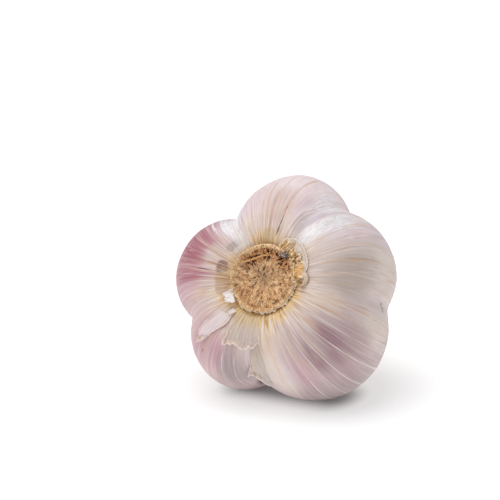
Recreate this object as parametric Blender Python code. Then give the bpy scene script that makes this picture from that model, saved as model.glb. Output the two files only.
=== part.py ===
"""A garlic bulb lying on its side, root end towards -Y and tipped up, cut stem behind it.

Sizes are in millimetres and angles in degrees. A place on the bulb is given by an angle round
its axis, counted anticlockwise from +X as seen from the root end, by a distance from the axis,
and by a height above the root plate towards the neck. The bulb rests on two of its cloves and on
the edge of the cut stem.
"""

import math
import random
from collections import namedtuple

import bmesh
import bpy
from mathutils import Matrix, Vector, noise

MM = 0.001
SEED = 7

# How the bulb lies
ROOT_END_TIPPED_UP = 27.0
GIRTH_HEIGHT = 16.8
GIRTH_ABOVE_TABLE = 27.55

# Crest of a clove from the root plate to the neck: distance from the axis, height
CREST = [
    (9.6, 1.2), (11.6, -0.4), (15.0, -1.6), (19.6, -0.8), (24.4, 2.8), (28.4, 9.0), (30.2, 16.8),
    (29.4, 24.4), (26.0, 31.4), (20.0, 37.4), (13.4, 42.0), (8.6, 46.6), (6.1, 51.6), (5.4, 56.0),
]
GIRTH = 30.2

# Each clove in cross-section: angle, distance of its centre from the axis, its own radius
CLOVES = {
    "right": (31.8, 13.1, 17.0),
    "top": (92.5, 19.0, 13.4),
    "left": (173.8, 16.8, 15.6),
    "lower_left": (234.3, 18.8, 12.4),
    "lower_right": (319.0, 12.0, 19.7),
}
SKIN_STRETCH = 45.0

# How much of the girth's grooves shows along the crest: share of the way, share of the groove
GROOVE_SHARE = [
    (0.0, 0.0), (0.08, 0.25), (0.2, 0.7), (0.34, 0.97), (0.45, 1.0), (0.62, 1.15), (0.8, 1.25),
    (0.92, 0.7), (1.0, 0.25),
]

# Near the root plate the groove between the two lower cloves drifts to one side: the angle where
# it does so, how far round that reaches, how much it drifts, and the share of the way it takes
GROOVE_DRIFT = (275.0, 26.0, 19.0, 0.42)

# The wrapping skin
SKIN_COLUMNS = 120
SKIN_ROWS = 30
VEIN_HEIGHT = 0.22
VEIN_SPACING = (3, 6)
PLEAT_HEIGHT = 0.3
PLEAT_SPACING = 3
PLEAT_END = 0.13
PLEAT_FADES = (0.03, 0.07)
VEIN_START = 0.05
VEIN_END = 0.93
VEIN_FADES = (0.08, 0.1)
RECESS_FLOOR = 3.2
SOCKET_RADIUS = 4.3
SOCKET_FLOOR = 50.0

# The root plate and the crust of old roots on it
PLATE_RADIUS = 9.25
PLATE_BACK = 2.8
PLATE_FOOT_RADIUS = 8.6
PLATE_FACE = -1.1
PLATE_COLUMNS = 60
PLATE_RINGS = 9
PLATE_RIM_RISE = 0.7
PLATE_RIM_WIDTH = 0.9
PLATE_RAGGED = 0.35
CRUST_RELIEF = 0.45
LIP_FROM = -3.0
LIP_TO = 74.0
LIP_FADES = (9.0, 16.0)
LIP_REACH = 4.4
LIP_FACE = -2.75
LIP_BACK = -2.0
ROOT_STUBS = 26
STUB_LENGTH = 0.9
STUB_SUNK = 1.4
STUB_RADIUS = 0.42
STUB_SIDES = 5

# The cut stem
STEM_FOOT = 50.4
STEM_END = 71.0
STEM_RADII = [(50.4, 3.95), (56.0, 3.8), (61.0, 3.5), (67.0, 3.45), (69.6, 3.75), (71.0, 3.8)]
STEM_COLUMNS = 32
STEM_RIDGES = 7
STEM_RIDGE_HEIGHT = 0.16
PITH_RADIUS = 2.1
PITH_DEPTH = 1.3

# Torn pieces of the outermost skin. Each runs from the root plate towards the neck: its angles,
# shares of the way and widths at both ends, how far it lies off the skin, how far its end curls up.
SHEET_THICKNESS = 0.6
Sheet = namedtuple("Sheet", "angles shares widths lift curl seed")
TORN_SHEETS = {
    "torn_skin_long": Sheet((236.5, 230.5), (0.062, 0.21), (3.9, 2.8), 0.62, 0.6, 3),
    "torn_skin_wide": Sheet((268.0, 264.5), (0.055, 0.158), (5.4, 7.4), 0.62, 0.9, 5),
    "torn_skin_strip": Sheet((275.6, 267.0), (0.175, 0.4), (2.7, 5.2), 0.5, 0.7, 9),
    "rim_scrap_upper": Sheet((218.5, 219.5), (0.006, 0.05), (3.6, 2.6), 0.62, 0.5, 12),
    "rim_scrap_lower": Sheet((241.0, 240.5), (0.008, 0.044), (1.7, 2.2), 0.62, 0.4, 14),
}
SHEET_COLUMNS = 7
SHEET_ROWS = 9
RAGGED_DEPTH = 0.16
SIDE_CURL = 0.25

# Dry leaf tips that stand round the foot of the stem: angle, distance and height of the tip, twist
DRY_TIPS = {
    "dry_tip_right": (18.0, 9.0, 66.5, 8.0),
    "dry_tip_top": (84.0, 7.6, 70.0, -10.0),
    "dry_tip_left": (172.0, 10.2, 64.0, 9.0),
    "dry_tip_low": (326.0, 6.6, 61.5, -6.0),
}
TIP_FOOT = (46.5, 50.0)
TIP_WIDTH = 5.4
TIP_POINT = 0.22
TIP_LIFT = 1.0
TIP_ROWS = 10
TIP_COLUMNS = 4

COLOURS = {
    "bulb_skin": ((0.80, 0.70, 0.68), 0.42),
    "root_crust": ((0.56, 0.38, 0.20), 0.9),
    "stem_fibre": ((0.74, 0.62, 0.46), 0.75),
    "torn_skin": ((0.84, 0.77, 0.70), 0.5),
    "dry_leaf": ((0.66, 0.50, 0.30), 0.65),
}


def clear_scene():
    for thing in list(bpy.data.objects):
        bpy.data.objects.remove(thing)


def make_material(name):
    colour, roughness = COLOURS[name]
    material = bpy.data.materials.new(name)
    material.use_nodes = True
    shader = material.node_tree.nodes["Principled BSDF"]
    shader.inputs["Base Color"].default_value = (*colour, 1.0)
    shader.inputs["Roughness"].default_value = roughness
    shader.inputs["Metallic"].default_value = 0.0
    return material


def between(pairs, x):
    """The value at x on the broken line through pairs of (x, value)."""
    for (x0, y0), (x1, y1) in zip(pairs, pairs[1:]):
        if x <= x1:
            return y0 + (y1 - y0) * max(0.0, x - x0) / (x1 - x0)
    return pairs[-1][1]


def ease(x):
    x = min(1.0, max(0.0, x))
    return x * x * (3.0 - 2.0 * x)


def along_crest(share):
    """Distance from the axis and height on a smooth curve through CREST, by share of its length."""
    points = [Vector(p) for p in CREST]
    spans = [(b - a).length for a, b in zip(points, points[1:])]
    way = min(1.0, max(0.0, share)) * sum(spans)
    i = 0
    while i < len(spans) - 1 and way > spans[i]:
        way -= spans[i]
        i += 1
    u = way / spans[i]
    ends = [2 * points[0] - points[1], *points, 2 * points[-1] - points[-2]]
    a, b, c, d = ends[i : i + 4]
    return 0.5 * (
        2 * b + (c - a) * u + (2 * a - 5 * b + 4 * c - d) * u**2 + (3 * b - a - 3 * c + d) * u**3
    )


def girth_outline(angle):
    """Distance of the skin from the axis at the girth: the circles of the cloves under one skin."""
    reaches = []
    for clove_angle, distance, radius in CLOVES.values():
        turn = math.radians(angle - clove_angle)
        inside = max(0.0, radius**2 - (distance * math.sin(turn)) ** 2)
        reaches.append(max(0.01, distance * math.cos(turn) + math.sqrt(inside)))
    widest = max(reaches)
    return widest * sum((r / widest) ** SKIN_STRETCH for r in reaches) ** (1 / SKIN_STRETCH)


def at(angle, distance, height):
    """The point at a place round the bulb's upright axis. Its angles run clockwise from above."""
    turn = math.radians(-angle)
    return Vector((distance * math.cos(turn), distance * math.sin(turn), height))


def drifted(angle, share):
    """The angle at the girth of the groove or lobe that passes this place."""
    middle, reach, most, way = GROOVE_DRIFT
    aside = (angle - middle + 180.0) % 360.0 - 180.0
    return angle - most * math.exp(-((aside / reach) ** 2)) * (1.0 - ease(share / way))


def skin_point(angle, share):
    distance, height = along_crest(share)
    lobe = 1.0 - girth_outline(drifted(angle, share)) / GIRTH
    return at(angle, distance * (1.0 - between(GROOVE_SHARE, share) * lobe), height)


def skin_out(angle, share):
    """The outward direction of the skin."""
    round_about = skin_point(angle + 0.5, share) - skin_point(angle - 0.5, share)
    up_along = skin_point(angle, min(1.0, share + 0.004)) - skin_point(angle, max(0.0, share - 0.004))
    return up_along.cross(round_about).normalized()


def vein_columns():
    """The columns of the skin that carry a raised vein, unevenly spaced as on the real skin."""
    draw = random.Random(SEED)
    columns = []
    column = 0
    while column < SKIN_COLUMNS - VEIN_SPACING[0]:
        columns.append(column)
        column += draw.randint(*VEIN_SPACING)
    return columns


def new_object(name, bm, material, smooth_angle=40.0):
    mesh = bpy.data.meshes.new(name)
    bmesh.ops.recalc_face_normals(bm, faces=bm.faces)
    bm.to_mesh(mesh)
    bm.free()
    mesh.shade_smooth()
    mesh.set_sharp_from_angle(angle=math.radians(smooth_angle))
    mesh.materials.append(material)
    thing = bpy.data.objects.new(name, mesh)
    bpy.context.scene.collection.objects.link(thing)
    return thing


def add_ring(bm, points):
    return [bm.verts.new(p * MM) for p in points]


def join_rings(bm, rings):
    """A band of faces between each ring of vertices and the next."""
    for ring, after in zip(rings, rings[1:]):
        for i in range(len(ring)):
            j = (i + 1) % len(ring)
            bm.faces.new((ring[i], ring[j], after[j], after[i]))


def close_ring(bm, ring, point):
    """A fan of faces from a ring to one point."""
    middle = bm.verts.new(point * MM)
    for i in range(len(ring)):
        bm.faces.new((ring[i], ring[(i + 1) % len(ring)], middle))


def make_bulb(material):
    """The cloves under their papery skin, with a recess for the root plate and a socket at the neck."""
    veins = set(vein_columns())
    bm = bmesh.new()
    angles = [360.0 * i / SKIN_COLUMNS for i in range(SKIN_COLUMNS)]
    rings = [add_ring(bm, [at(a, CREST[0][0], RECESS_FLOOR) for a in angles])]
    for row in range(SKIN_ROWS + 1):
        share = row / SKIN_ROWS
        vein = ease((share - VEIN_START) / VEIN_FADES[0]) * ease((VEIN_END - share) / VEIN_FADES[1])
        pleat = ease(share / PLEAT_FADES[0]) * ease((PLEAT_END - share) / PLEAT_FADES[1])
        points = []
        for column, angle in enumerate(angles):
            raised = VEIN_HEIGHT * vein * (column in veins)
            raised += PLEAT_HEIGHT * pleat * (column % PLEAT_SPACING == 0)
            point = skin_point(angle, share)
            if raised:
                point = point + skin_out(angle, share) * raised
            points.append(point)
        rings.append(add_ring(bm, points))
    rings.append(add_ring(bm, [at(a, SOCKET_RADIUS, CREST[-1][1]) for a in angles]))
    rings.append(add_ring(bm, [at(a, SOCKET_RADIUS, SOCKET_FLOOR) for a in angles]))
    join_rings(bm, rings)
    close_ring(bm, rings[0], at(0.0, 0.0, RECESS_FLOOR))
    close_ring(bm, rings[-1], at(0.0, 0.0, SOCKET_FLOOR))
    return new_object("bulb", bm, material)


def lip_share(angle):
    """How far the crust's lip stands out at this angle, from 0 to 1."""
    turned = (angle + 180.0) % 360.0 - 180.0
    return ease((turned - LIP_FROM) / LIP_FADES[0]) * ease((LIP_TO - turned) / LIP_FADES[1])


def crust_face(angle, distance):
    """Height of the crusted face of the root plate: a raised rim, a hollow middle and old roots."""
    rim = PLATE_RIM_RISE * math.exp(-(((distance - PLATE_RADIUS) / PLATE_RIM_WIDTH + 1.0) ** 2))
    place = at(angle, distance, 0.0)
    rough = noise.fractal(place * 0.55, 0.6, 2.0, 3) + 0.6 * noise.noise(place * 1.7)
    lip = lip_share(angle) * ease((distance - PLATE_RADIUS + 2.0) / 2.4)
    return (PLATE_FACE - rim) * (1.0 - lip) + LIP_FACE * lip - CRUST_RELIEF * rough


def make_root_plate(material):
    """The woody plate that carries the roots, crusted in front, with a torn lip on its upper right."""
    draw = random.Random(SEED)
    bm = bmesh.new()
    angles = [360.0 * i / PLATE_COLUMNS for i in range(PLATE_COLUMNS)]
    ragged = [PLATE_RAGGED * draw.uniform(-1, 0) for _ in angles]
    edges = [PLATE_RADIUS + LIP_REACH * lip_share(a) + r for a, r in zip(angles, ragged)]
    rings = []
    for ring in range(1, PLATE_RINGS + 1):
        share = (ring / PLATE_RINGS) ** 0.8
        rings.append(add_ring(bm, [at(a, e * share, crust_face(a, e * share)) for a, e in zip(angles, edges)]))
    backs = [min(crust_face(a, e) + 0.7, LIP_BACK if lip_share(a) > 0.02 else -0.2) for a, e in zip(angles, edges)]
    rings.append(add_ring(bm, [at(a, e - 0.1, b) for a, e, b in zip(angles, edges, backs)]))
    rings.append(add_ring(bm, [at(a, PLATE_FOOT_RADIUS, b + 0.15) for a, b in zip(angles, backs)]))
    rings.append(add_ring(bm, [at(a, PLATE_FOOT_RADIUS, PLATE_BACK) for a in angles]))
    join_rings(bm, rings)
    close_ring(bm, rings[0], at(0.0, 0.0, crust_face(0.0, 0.0)))
    close_ring(bm, rings[-1], at(0.0, 0.0, PLATE_BACK))
    return new_object("root_plate", bm, material, smooth_angle=30.0)


def make_root_stubs():
    """Short dry stubs of the trimmed roots, as loose solids to be joined to the root plate."""
    draw = random.Random(SEED + 1)
    stubs = bpy.data.collections.new("root_stubs")
    for number in range(ROOT_STUBS):
        angle = 360.0 * (number + draw.uniform(0.1, 0.9)) / ROOT_STUBS
        distance = PLATE_RADIUS * draw.choice((0.5, 0.68, 0.82)) * draw.uniform(0.9, 1.03)
        lean = draw.uniform(0.1, 0.5)
        foot = at(angle, distance, crust_face(angle, distance) + STUB_SUNK)
        tip = at(angle + draw.uniform(-3, 3), distance + lean, crust_face(angle, distance) - STUB_LENGTH)
        bm = bmesh.new()
        rings = []
        for centre, radius in ((foot, STUB_RADIUS), (tip, STUB_RADIUS * 0.7)):
            rings.append(add_ring(bm, [centre + at(360.0 * k / STUB_SIDES, radius, 0.0) for k in range(STUB_SIDES)]))
        join_rings(bm, rings)
        close_ring(bm, rings[0], foot)
        close_ring(bm, rings[-1], tip)
        bmesh.ops.recalc_face_normals(bm, faces=bm.faces)
        mesh = bpy.data.meshes.new(f"root_stub_{number:02d}")
        bm.to_mesh(mesh)
        bm.free()
        stubs.objects.link(bpy.data.objects.new(mesh.name, mesh))
    bpy.context.scene.collection.children.link(stubs)
    return stubs


def fuse(thing, collection):
    """One Boolean union of the collection's objects with this one, applied."""
    join = thing.modifiers.new("fuse", "BOOLEAN")
    join.operation = "UNION"
    join.solver = "MANIFOLD"
    join.operand_type = "COLLECTION"
    join.collection = collection
    bpy.context.view_layer.update()
    fused = bpy.data.meshes.new_from_object(thing.evaluated_get(bpy.context.evaluated_depsgraph_get()))
    thing.modifiers.remove(join)
    thing.data = fused
    for extra in list(collection.objects):
        bpy.data.objects.remove(extra)
    bpy.data.collections.remove(collection)


def make_stem(material):
    """The dry cut stem: a ridged stalk that flares a little at its hollowed end."""
    bm = bmesh.new()
    angles = [360.0 * i / STEM_COLUMNS for i in range(STEM_COLUMNS)]
    heights = [STEM_FOOT, 53.0, 56.5, 60.0, 63.5, 66.5, 68.6, 69.8, 70.5, STEM_END]
    rings = []
    for height in heights:
        radius = between(STEM_RADII, height)
        ridge = [STEM_RIDGE_HEIGHT * math.cos(math.radians(STEM_RIDGES * a + 3.0 * height)) for a in angles]
        rings.append(add_ring(bm, [at(a, radius + r, height) for a, r in zip(angles, ridge)]))
    rings.append(add_ring(bm, [at(a, PITH_RADIUS, STEM_END - 0.15) for a in angles]))
    rings.append(add_ring(bm, [at(a, PITH_RADIUS * 0.8, STEM_END - PITH_DEPTH) for a in angles]))
    join_rings(bm, rings)
    close_ring(bm, rings[0], at(0.0, 0.0, STEM_FOOT))
    close_ring(bm, rings[-1], at(0.0, 0.0, STEM_END - PITH_DEPTH))
    return new_object("stem", bm, material)


def make_sheet(name, rows, material):
    """A thin papery sheet through rows of points, thickened outwards."""
    bm = bmesh.new()
    grid = [add_ring(bm, points) for points in rows]
    for row, after in zip(grid, grid[1:]):
        for i in range(len(row) - 1):
            bm.faces.new((row[i], after[i], after[i + 1], row[i + 1]))
    mesh = bpy.data.meshes.new(name)
    bm.to_mesh(mesh)
    bm.free()
    mesh.shade_smooth()
    mesh.materials.append(material)
    thing = bpy.data.objects.new(name, mesh)
    bpy.context.scene.collection.objects.link(thing)
    thicken = thing.modifiers.new("thickness", "SOLIDIFY")
    thicken.thickness = SHEET_THICKNESS * MM
    thicken.offset = 1.0
    return thing


def make_torn_sheet(name, material):
    """A torn piece of the outermost skin, lying on the bulb, with a ragged end that curls away."""
    sheet = TORN_SHEETS[name]
    draw = random.Random(sheet.seed)
    ragged = [1.0 - RAGGED_DEPTH * draw.random() for _ in range(SHEET_COLUMNS + 1)]
    rows = []
    for row in range(SHEET_ROWS + 1):
        along = row / SHEET_ROWS
        points = []
        for column in range(SHEET_COLUMNS + 1):
            across = 2.0 * column / SHEET_COLUMNS - 1.0
            reached = along * (1.0 + (ragged[column] - 1.0) * ease(along))
            middle, share, width = (a + (b - a) * reached for a, b in (sheet.angles, sheet.shares, sheet.widths))
            around = math.degrees(across * width / 2.0 / (skin_point(middle, share).to_2d().length))
            lift = sheet.lift + sheet.curl * (reached**4 + SIDE_CURL * across**4 * reached)
            points.append(skin_point(middle + around, share) + skin_out(middle + around, share) * lift)
        rows.append(points)
    return make_sheet(name, rows, material)


def share_at(height):
    """The share of the way along the crest, past the girth, at which it reaches this height."""
    low, high = 0.5, 1.0
    for _ in range(20):
        middle = 0.5 * (low + high)
        low, high = (middle, high) if along_crest(middle)[1] < height else (low, middle)
    return low


def make_dry_tip(name, material):
    """A dry leaf tip: it lies on the neck, follows the stem and bends away to a point."""
    angle, tip_distance, tip_height, twist = DRY_TIPS[name]
    foot, free = TIP_FOOT
    rows = []
    for row in range(TIP_ROWS + 1):
        along = row / TIP_ROWS
        height = foot + (tip_height - foot) * along
        flare = (tip_distance - CREST[-1][0]) * ease((height - free) / (tip_height - free)) ** 1.6
        half = 0.5 * TIP_WIDTH * (1.0 - along) ** 0.75 + TIP_POINT
        points = []
        for column in range(TIP_COLUMNS + 1):
            across = 2.0 * column / TIP_COLUMNS - 1.0
            around = math.degrees(across * half / (CREST[-1][0] + 2.0)) + twist * along
            neck = skin_point(angle + around, share_at(height)).to_2d().length
            points.append(at(angle + around, neck + TIP_LIFT + flare, height))
        rows.append(points)
    return make_sheet(name, rows, material)


def lay_on_table(things):
    """Turns the upright bulb on its side under one empty, and presses flat what the table presses."""
    holder = bpy.data.objects.new("bulb_axis", None)
    bpy.context.scene.collection.objects.link(holder)
    turned = Matrix.Rotation(math.radians(-90.0 - ROOT_END_TIPPED_UP), 4, "X")
    middle = turned @ Vector((0.0, 0.0, GIRTH_HEIGHT * MM))
    lifted = Matrix.Translation(Vector((0.0, 0.0, GIRTH_ABOVE_TABLE * MM)) - middle) @ turned
    for thing in things:
        for vertex in thing.data.vertices:
            place = lifted @ vertex.co
            if place.z < 0.0:
                place.z = 0.0
                vertex.co = lifted.inverted() @ place
        thing.parent = holder
    shaped = bpy.context.evaluated_depsgraph_get()
    corners = [lifted @ v.co for thing in things for v in thing.evaluated_get(shaped).data.vertices]
    aside = [-0.5 * (min(c[k] for c in corners) + max(c[k] for c in corners)) for k in (0, 1)]
    holder.matrix_world = Matrix.Translation((aside[0], aside[1], 0.0)) @ lifted


def main():
    clear_scene()
    materials = {name: make_material(name) for name in COLOURS}
    plate = make_root_plate(materials["root_crust"])
    fuse(plate, make_root_stubs())
    things = [make_bulb(materials["bulb_skin"]), plate, make_stem(materials["stem_fibre"])]
    things += [make_torn_sheet(name, materials["torn_skin"]) for name in TORN_SHEETS]
    things += [make_dry_tip(name, materials["dry_leaf"]) for name in DRY_TIPS]
    lay_on_table(things)


main()
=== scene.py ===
"""Dresses the solid model of a garlic bulb: papery skin, crusted root plate, torn skins and a dry stem.

Sizes are in millimetres and angles in degrees unless a name says otherwise. A place on the bulb is
given by an angle round its axis, counted anticlockwise as seen from the root end, and by a share of
the way along the skin from the root plate (0) to the neck (1).
"""

import math
from collections import namedtuple

import bmesh
import bpy
import numpy as np
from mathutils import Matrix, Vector


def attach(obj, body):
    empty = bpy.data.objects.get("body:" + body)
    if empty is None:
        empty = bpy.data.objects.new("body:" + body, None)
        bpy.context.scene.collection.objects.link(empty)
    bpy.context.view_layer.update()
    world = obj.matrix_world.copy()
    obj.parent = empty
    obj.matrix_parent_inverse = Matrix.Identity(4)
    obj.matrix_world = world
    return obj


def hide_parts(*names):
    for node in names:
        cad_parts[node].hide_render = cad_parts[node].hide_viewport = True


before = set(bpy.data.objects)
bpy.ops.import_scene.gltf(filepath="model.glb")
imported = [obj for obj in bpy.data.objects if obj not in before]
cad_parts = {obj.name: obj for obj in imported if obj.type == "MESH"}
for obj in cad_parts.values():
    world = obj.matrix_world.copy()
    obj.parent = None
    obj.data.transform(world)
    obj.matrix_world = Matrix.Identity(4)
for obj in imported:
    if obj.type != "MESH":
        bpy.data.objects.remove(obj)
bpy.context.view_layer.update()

bl_info = {
    "name": "Garlic bulb",
    "version": (1, 0, 0),
    "blender": (4, 5, 0),
    "location": "3D View > Sidebar > Garlic",
    "description": "Dresses a garlic bulb with papery skin, a root crust, torn skins and a dry stem",
    "category": "Object",
}

MM = 0.001

# How the bulb lies: the tip of its root end above level, and where its upright frame's origin goes
TIPPED_UP = 27.0
AXIS_ORIGIN = (1.685, -27.582, 35.177)
GIRTH_CENTRE = (1.685, -12.613, 27.55)
# Middle and half length of the painted shadow on the floor round the bulb's foot
FOOTING = (4.0, -13.0, 12.2)

# Crest of a clove from the root plate to the neck: distance from the axis, height
CREST = np.array([
    (9.6, 1.2), (11.6, -0.4), (15.0, -1.6), (19.6, -0.8), (24.4, 2.8), (28.4, 9.0), (30.2, 16.8),
    (29.4, 24.4), (26.0, 31.4), (20.0, 37.4), (13.4, 42.0), (8.6, 46.6), (6.1, 51.6), (5.4, 56.0),
])
GIRTH = 30.2
CREST_LENGTH = 80.9
CLOVES = {
    "right": (31.8, 13.1, 17.0),
    "top": (92.5, 19.0, 13.4),
    "left": (173.8, 16.8, 15.6),
    "lower_left": (234.3, 18.8, 12.4),
    "lower_right": (319.0, 12.0, 19.7),
}
SKIN_STRETCH = 45.0
GROOVE_SHARE = [
    (0.0, 0.0), (0.08, 0.25), (0.2, 0.7), (0.34, 0.97), (0.45, 1.0), (0.62, 1.15), (0.8, 1.25),
    (0.92, 0.7), (1.0, 0.25),
]
GROOVE_DRIFT = (275.0, 26.0, 19.0, 0.42)

# Rings that close the skin under the root plate and inside its neck: radius, height
RECESS = ((2.0, 2.6), (8.9, 2.6))
SOCKET = ((4.3, 55.6), (3.9, 51.0), (1.0, 51.0))
PLATE_RADIUS = 9.25
PLATE_FACE = -1.1
PLATE_SHIFT = (0.45, -0.3, 0.0)
STEM_RADII = [(50.4, 3.95), (56.0, 3.8), (61.0, 3.5), (67.0, 3.45), (69.6, 3.75), (71.0, 3.8)]
STEM_FOOT = 50.6
STEM_END = 71.0
# Rings down the hollow end of the stem: radius, depth, how light: a painted shade that darkens the hollow
# deeper down
STEM_HOLLOW = (
    (3.3, 0.05, 0.9), (2.8, 0.15, 0.85), (2.2, 0.35, 0.6), (1.7, 1.3, 0.4), (1.0, 1.7, 0.35),
    (0.3, 1.8, 0.35),
)

# Skin colours, as they would look on white paper, among them a white painted highlight, a painted shade and a
# film that is partly painted light
TINTS = {
    # a white painted highlight, partly the skin's own white
    "pearl": (0.99, 0.97, 0.98),
    "cream": (0.90, 0.825, 0.76),
    "warm_cream": (0.93, 0.85, 0.76),
    "beige": (0.76, 0.70, 0.665),
    "ash": (0.86, 0.80, 0.78),
    "stone": (0.75, 0.69, 0.69),
    "lilac_white": (0.91, 0.86, 0.89),
    "lilac": (0.86, 0.79, 0.84),
    "grey_lilac": (0.79, 0.71, 0.71),
    "dusk": (0.70, 0.60, 0.60),
    "peach": (0.82, 0.715, 0.665),
    "rose": (0.93, 0.85, 0.86),
    "shell": (0.99, 0.92, 0.93),
    "blush": (0.84, 0.72, 0.72),
    "mauve": (0.78, 0.60, 0.65),
    "magenta": (0.66, 0.35, 0.42),
    "plum": (0.60, 0.45, 0.50),
    # painted shade, laid on the lower cloves
    "shade": (0.66, 0.59, 0.60),
    "gold": (0.92, 0.77, 0.50),
    "dark_gold": (0.70, 0.51, 0.28),
    "brown_film": (0.58, 0.42, 0.33),
    "tan_film": (0.76, 0.62, 0.45),
    "olive_film": (0.81, 0.71, 0.52),
    "beige_film": (0.77, 0.66, 0.57),
    "slate_film": (0.64, 0.62, 0.62),
    # partly painted light on the skin beside the root plate
    "white_film": (0.93, 0.90, 0.88),
    "orange": (0.85, 0.69, 0.54),
    "ivory": (0.94, 0.89, 0.84),
    "neck_gold": (0.82, 0.62, 0.40),
    "umber": (0.36, 0.23, 0.15),
    "rust": (0.66, 0.38, 0.22),
}
CLOVE_TINTS = {
    "right": "ash", "top": "rose", "left": "blush", "lower_left": "blush", "lower_right": "grey_lilac",
}

# Stains in the skin, some of them painted highlights, painted light and painted shade: middle angle and
# share, half sizes in degrees and share, tint, strength, and how far the edge follows the fibres
Stain = namedtuple("Stain", "angle share wide long tint strength streaks")
STAINS = [Stain(*row) for row in (
    # left clove: magenta flush, pale crinkled top with painted highlights, brown film by the roots
    (151, 0.21, 17, 0.15, "mauve", 0.9, 0.3),
    (199, 0.25, 15, 0.14, "mauve", 0.6, 0.3),
    (169.5, 0.20, 9.5, 0.125, "magenta", 0.95, 0.3),
    (183.5, 0.185, 8, 0.13, "magenta", 0.85, 0.3),
    (176.8, 0.19, 0.9, 0.12, "mauve", 0.5, 0.2),
    (157, 0.21, 11, 0.14, "magenta", 0.7, 0.6),
    (177, 0.20, 11, 0.10, "magenta", 0.35, 0.4),
    (207, 0.19, 9, 0.10, "blush", 0.7, 0.4),
    (204, 0.085, 13, 0.045, "beige", 0.5, 0.4),
    (160, 0.085, 14, 0.03, "ash", 0.7, 0.8),
    (134, 0.095, 9, 0.045, "pearl", 0.6, 1),
    (135, 0.15, 7.5, 0.055, "pearl", 0.8, 1.6),
    (127, 0.20, 6, 0.12, "pearl", 0.9, 1.3),
    (119, 0.16, 5, 0.10, "lilac", 0.7, 0.8),
    (140, 0.049, 11, 0.015, "slate_film", 0.6, 0.2),
    (171.5, 0.042, 9, 0.019, "brown_film", 0.95, 0.2),
    (186, 0.038, 6.5, 0.02, "tan_film", 0.95, 0.2),
    (199, 0.036, 10, 0.022, "beige_film", 0.85, 0.2),
    (192, 0.030, 24, 0.018, "tan_film", 0.45, 0.5),
    (124, 0.078, 9, 0.03, "pearl", 0.6, 0.4),
    # top clove: peach in the middle, pink crown, lilac and painted white highlights to the right, painted
    # light on the skin by the root plate
    (92, 0.34, 27, 0.17, "shell", 0.95, 0.3),
    (66, 0.37, 10, 0.08, "shell", 0.9, 0.3),
    (88, 0.13, 18, 0.09, "peach", 0.75, 0.7),
    (113, 0.18, 6, 0.13, "rose", 0.8, 0.8),
    (117, 0.075, 8, 0.045, "ivory", 0.7, 0.4),
    (127, 0.052, 10, 0.020, "white_film", 0.6, 0.2),
    # painted light where the root plate shades the skin
    (134, 0.020, 17, 0.022, "white_film", 0.75, 0.4),
    (64, 0.12, 8, 0.06, "stone", 0.9, 0.9),
    (67, 0.285, 9, 0.085, "pearl", 0.7, 1.4),
    (62.5, 0.19, 4.5, 0.05, "lilac", 0.6, 0.5),
    (45.5, 0.16, 4, 0.10, "ivory", 0.6, 0.6),
    (72, 0.17, 6, 0.08, "lilac", 0.6, 1),
    (57, 0.20, 3, 0.10, "lilac", 0.7, 0.8),
    (92, 0.034, 9, 0.028, "olive_film", 0.75, 0.2),
    # right clove: painted white highlights along the groove, pink upper side, beige middle
    (50.5, 0.20, 5.5, 0.19, "pearl", 1, 0.6),
    (41, 0.075, 9, 0.035, "ivory", 0.8, 0.4),
    (40, 0.27, 9, 0.12, "rose", 0.8, 0.5),
    (44.5, 0.215, 2.5, 0.05, "pearl", 0.9, 1.6),
    (35.5, 0.225, 4, 0.03, "pearl", 0.3, 1.8),
    (49, 0.10, 7, 0.06, "pearl", 0.95, 0.5),
    (36, 0.23, 6, 0.05, "blush", 0.5, 0.5),
    (41, 0.19, 5, 0.06, "lilac_white", 0.6, 0.6),
    (22, 0.40, 12, 0.09, "ivory", 0.6, 0.3),
    (38, 0.38, 9, 0.09, "lilac_white", 0.8, 0.3),
    (11, 0.215, 17, 0.12, "beige", 1, 0.3),
    (350, 0.15, 11, 0.06, "cream", 0.7, 0.3),
    (8, 0.50, 26, 0.13, "ash", 0.95, 0.2),
    # lower right clove: plum blotches over grey lilac, pale by the groove, painted shade on the side towards
    # the floor
    (331, 0.23, 11, 0.12, "dusk", 1, 0.3),
    (322, 0.27, 14, 0.11, "dusk", 0.85, 0.3),
    (329.5, 0.20, 6, 0.085, "plum", 0.95, 0.4),
    (313.5, 0.215, 5.5, 0.085, "plum", 0.95, 0.4),
    (322, 0.26, 4, 0.05, "plum", 0.4, 0.6),
    (304, 0.23, 8, 0.13, "mauve", 0.7, 0.4),
    (318, 0.34, 12, 0.08, "mauve", 0.45, 0.4),
    (346, 0.36, 11, 0.12, "ivory", 0.6, 0.3),
    (340, 0.28, 9, 0.08, "dusk", 0.5, 0.4),
    # painted shade on the side towards the floor
    (308, 0.40, 24, 0.12, "shade", 0.75, 0.2),
    (292, 0.20, 8, 0.12, "lilac", 0.7, 0.3),
    (286, 0.27, 10, 0.12, "ivory", 0.6, 0.3),
    (345, 0.08, 13, 0.05, "cream", 0.75, 0.4),
    # lower left clove: mauve left side; darker and greyer below the torn flap and towards the floor, partly
    # painted shade
    (230, 0.20, 11, 0.13, "mauve", 0.8, 0.3),
    (245, 0.19, 7, 0.08, "mauve", 1, 0.3),
    # painted shade below the torn flap
    (259, 0.25, 14, 0.14, "shade", 1, 0.3),
    (244, 0.42, 24, 0.10, "stone", 0.7, 0.2),
)]

FILMS = [stain for stain in STAINS if stain.tint.endswith("film")]

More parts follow.
